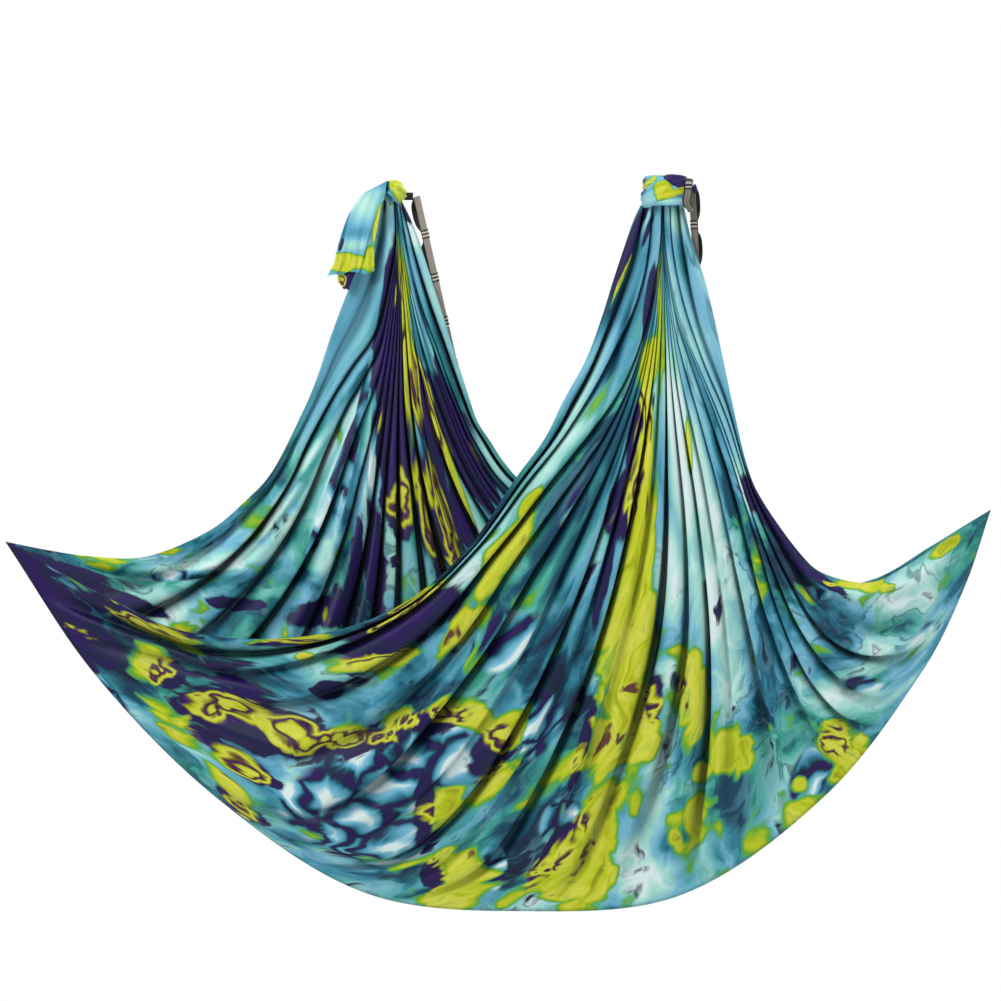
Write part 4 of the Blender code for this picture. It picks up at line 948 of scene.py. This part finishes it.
def loop_path(strap, start, loops):
    """Middle line of the black webbing: flat at each tack, standing off in a loop between them."""
    middle = -(WEBBING_THICKNESS + CLEARANCE)
    free = LOOP_PITCH - LOOP_LEAD - TACK_LENGTH
    line = [(start + WEBBING_THICKNESS, middle)]
    for loop in range(loops):
        base = start + loop * LOOP_PITCH + LOOP_LEAD
        line += [(base + along * free, middle - out * LOOP_BULGE) for along, out in LOOP_SHAPE]
    line.append((start + loops * LOOP_PITCH - WEBBING_THICKNESS, middle))
    line = even_points(np.array(line), np.linspace(0, 1, 60 * loops))
    return strap.at(*(levelled(column, 5) for column in line.T))


def tack_bars(name, strap, end, body, node):
    """Three raised rows of black zigzag stitching over the webbing's width."""
    steps, sides = 5, 6
    row, stitch, step, side = np.ix_(*(range(count) for count in (BARS, STITCHES, steps, sides)))
    q = step / (steps - 1) * 2 - 1
    swell = np.sqrt(1 - q * q * 0.85)
    turn = 2 * math.pi * side / sides
    along = end - TACK_LENGTH + STITCH_REACH + row * BAR_PITCH + q * STITCH_REACH
    lean = np.where(stitch % 2, STITCH_LEAN, -STITCH_LEAN)
    across_it = BAR_WIDTH * (stitch / (STITCHES - 1) - 0.5) + q * lean + np.cos(turn) * STITCH_RADIUS * swell
    out = WEBBING_THICKNESS / 2 + 0.0002 + np.sin(turn) * STITCH_HEIGHT * swell
    along, out, across_it = (value.ravel() for value in np.broadcast_arrays(along, out, across_it))
    faces = sum((tube_faces(steps, sides, first) for first in range(0, len(along), steps * sides)), [])
    thing = mesh_object(name, strap.at(along, out, across_it), faces, black_thread, "weave",
                        np.stack((along, across_it), -1))
    dress(thing, body, (node,))


def add_strap(side, strap, spine_material):
    start, tack = 0.0, 0
    for part, loops in zip(("upper", "middle", "lower"), (3, 3, 2)):
        end = start + loops * LOOP_PITCH
        body = side + "_strap_" + part + "_section"
        along = np.linspace(start, end - WEBBING_THICKNESS / 2 - CLEARANCE, 40 * loops)
        ribbon(side + "_spine_" + part, strap.at(along, 0 * along), strap.width, strap.face, SPINE_WIDTH,
               WEBBING_THICKNESS, spine_material, body, (side + "_strap_" + part,))
        path = loop_path(strap, start, loops)
        ribbon(side + "_black_loops_" + part, path, strap.width, path_normals(path, strap.width),
               WEBBING_WIDTH, LOOP_THICKNESS, black_webbing, body, (side + "_loops_" + part,))
        for loop in range(1, loops + 1):
            tack += 1
            tack_bars("%s_stitching_%d" % (side, tack), strap, start + loop * LOOP_PITCH - TACK_GAP, body,
                      "%s_bar_tack_%d" % (side, tack))
        start = end


OLIVE_THREADS = srgb(150, 144, 130), srgb(92, 86, 76)
black_webbing = webbing_material("black_webbing", srgb(30, 30, 34), srgb(10, 10, 12))
black_thread = thread_material("black_thread", srgb(24, 24, 27), srgb(6, 6, 8))
cream_thread = thread_material("cream_thread", srgb(222, 214, 190), srgb(170, 160, 138))
beige_webbing = webbing_material("beige_webbing", srgb(176, 168, 158), srgb(124, 116, 108),
                                 srgb(226, 216, 200))
olive_webbing = webbing_material("olive_webbing", *OLIVE_THREADS, srgb(214, 206, 184))
olive_head = webbing_material("olive_head_webbing", *OLIVE_THREADS)
left_strap = StrapFrame(LEFT_EYE + (LEFT_CORE_RADIUS + 0.0253, 0.014, -0.0105), turn=20, lean=13.5, tilt=0)
right_strap = StrapFrame(RIGHT_EYE + (RIGHT_CORE_RADIUS + 0.0104, 0.022, 0.0063), turn=-15, lean=1, tilt=8)
add_strap("left", left_strap, beige_webbing)
add_strap("right", right_strap, olive_webbing)


def add_lead(side, strap, eye, core_radius):
    """The short webbing that comes out of the knot and turns into the strap's top."""
    level = strap.width * (1, 1, 0)
    level /= np.linalg.norm(level)
    start, end = strap.top - level * (WEBBING_WIDTH / 2 + CLEARANCE), strap.top - level * 0.060
    way = np.linspace(0, 1, 30)[:, None]
    path = start * (1 - way) + end * way
    reach = np.hypot(*(path - eye).T[:2])
    path = path[(reach > core_radius * 0.9) | (way[:, 0] < 0.12)]
    ribbon(side + "_lead_webbing", path, UP, path_normals(path, UP), WEBBING_WIDTH, WEBBING_THICKNESS,
           black_webbing, "hammock", (side + "_strap_lead",))


def add_anchor(side, eye, core_radius):
    """Webbing rolled up in the knot's eye."""
    axis = (RIGHT_EYE - LEFT_EYE) / np.linalg.norm(RIGHT_EYE - LEFT_EYE)
    turn = np.linspace(0, 6 * math.pi, 120)[:, None]
    roll = 0.0012 + 0.0052 * turn / turn[-1]
    path = eye + roll * (np.cos(turn) * np.cross(axis, UP) + np.sin(turn) * UP)
    width = 2 * math.sqrt(core_radius ** 2 - HOLE_RADIUS ** 2) - 0.001
    ribbon(side + "_rolled_webbing", path, axis, path_normals(path, axis), width, 0.0014, black_webbing,
           "anchors", (side + "_anchor_webbing",))


def add_head():
    """The right strap's turn over the front of its knot, with its bar tack."""
    route = np.array(((0.6880, 0.1800, -0.252), (0.6874, 0.1812, -0.280), (0.6869, 0.1850, -0.2905),
                      (0.6862, 0.1950, -0.2925), (0.6850, 0.2030, -0.289), (0.6866, 0.2080, -0.275),
                      (0.6893, 0.2105, -0.255), (0.6900, 0.2125, -0.2360)))
    route[:, :2] = place(route[:, :2])
    path = curve_through(route[:, (0, 2, 1)], 10)
    share = np.linspace(0, 1, len(path))[:, None]
    way = np.array((0.985, 0, -0.17)) * (1 - share) + np.array((0.80, 0.50, 0.30)) * share
    way /= np.linalg.norm(way, axis=1)[:, None]
    out = path_normals(path, way)
    ribbon("right_head_webbing", path, way, out, WEBBING_WIDTH - 0.0030, WEBBING_THICKNESS, olive_head,
           "hammock", ())
    ribbon("right_head_black_webbing", path - out * 0.0018, way, out, WEBBING_WIDTH + 0.0022, 0.0016,
           black_webbing, "hammock", ())
    levels = (EYE_MIDDLE[1] - np.array((0.1822, 0.1850, 0.1868, 0.1884, 0.1902))) * FRAME_SIDE
    across_bar = np.array((0.17, 0, 0.985))
    for index, level in enumerate(levels):
        near = np.argmin(np.abs(path[10:40, 2] - level)) + 10
        width, lift, thread = (0.0034, 0.0025, cream_thread) if index % 2 else (0.0042, 0.0022, black_thread)
        bar = path[near] + way[near] * np.linspace(-0.0066, 0.0066, 12)[:, None] + out[near] * lift
        ribbon("right_head_stitching_%d" % (index + 1), bar, across_bar, path_normals(bar, across_bar),
               width, 0.0012, thread, "hammock", ())


def add_nub():
    """The small end of cloth that stands out beside the right strap."""
    rows = np.linspace(0.02, math.pi - 0.02, 16)[:, None]
    around = np.linspace(0, 2 * math.pi, 24, endpoint=False)[None]
    middle = place((0.6931, 0.1900))
    pinch = 1 + 0.18 * np.cos(3 * around + 1)
    points = np.stack((middle[0] + 0.0046 * np.sin(rows) * np.cos(around) * pinch,
                       -0.240 + 0.0100 * np.sin(rows) * np.sin(around) * pinch,
                       middle[1] + 0.0100 * np.cos(rows) + 0 * around), -1)
    dye = dict(purple=((693.1, 190, 20, 20, 0, 1.5),), calm=((693.1, 190, 20, 20, 0),))
    cloth_piece("right_knot_end_cloth", points, 0.2 + rows * 0.02, 0.1 + around * 0.01, dye, "hammock", (),
                True)


add_lead("left", left_strap, LEFT_EYE, LEFT_CORE_RADIUS)
add_lead("right", right_strap, RIGHT_EYE, RIGHT_CORE_RADIUS)
add_anchor("left", LEFT_EYE, LEFT_CORE_RADIUS)
add_anchor("right", RIGHT_EYE, RIGHT_CORE_RADIUS)
add_head()
add_nub()


FLOOR_LEVEL, CAMERA_DISTANCE = -1.80, 60.0


def stage():
    """Floor, light and camera."""
    bpy.ops.mesh.primitive_plane_add(size=1, location=(0, 0.2, FLOOR_LEVEL))
    floor = bpy.context.object
    floor.name = "floor"
    floor.scale = (9, 4.2, 1)
    mat, n = new_material("pale_floor")
    mottle = n.noise(n.add("TexCoord").outputs["Object"], 3.0, 3.0)
    mottle = n.ramp(mottle, (0.0, (0.80,) * 3), (1.0, (0.84,) * 3))
    lit = n.add("BsdfDiffuse", {"Color": mottle}).outputs[0]
    glow = n.add("Emission", {"Color": (1, 1, 1, 1), "Strength": 1.0}).outputs[0]
    n.surface(n.add("MixShader", {0: n.product(n.background_rays(), 0.55), 1: lit, 2: glow}))
    floor.data.materials.append(mat)

    scene.world = bpy.data.worlds.new("studio")
    n = Nodes(scene.world)
    level = n.total(0.40, (n.background_rays(), 0.60))
    n.surface(n.add("Background", {"Color": (1, 1, 1, 1), "Strength": level}), "OutputWorld")

    for name, spot, target, size, power in (
            ("key", (-2.6, -3.4, 1.6), (0, 0, -0.7), 1.6, 100),
            ("fill", (3.0, -3.0, 0.2), (0, 0, -0.8), 2.4, 42),
            ("top", (0.3, -0.6, 2.6), (0, 0, -0.4), 1.6, 40),
            ("rear", (1.2, 3.6, 1.2), (0, 0, -0.7), 2.4, 70)):
        light = bpy.data.lights.new(name, "AREA")
        light.shape = "DISK"
        light.size = size
        light.energy = power
        lamp = bpy.data.objects.new(name, light)
        lamp.location = spot
        lamp.rotation_euler = (Vector(target) - Vector(spot)).to_track_quat("-Z", "Y").to_euler()
        scene.collection.objects.link(lamp)

    camera = bpy.data.cameras.new("camera")
    viewer = bpy.data.objects.new("camera", camera)
    scene.collection.objects.link(viewer)
    camera.sensor_width = 36
    camera.lens = camera.sensor_width * CAMERA_DISTANCE / FRAME_SIDE
    camera.clip_start, camera.clip_end = 1, 200
    middle = place((0.5, 0.5))
    viewer.location = (middle[0], 0.03 - CAMERA_DISTANCE, middle[1])
    viewer.rotation_euler = (math.pi / 2, 0, 0)
    scene.camera = viewer
    scene.view_settings.view_transform = "Standard"


stage()
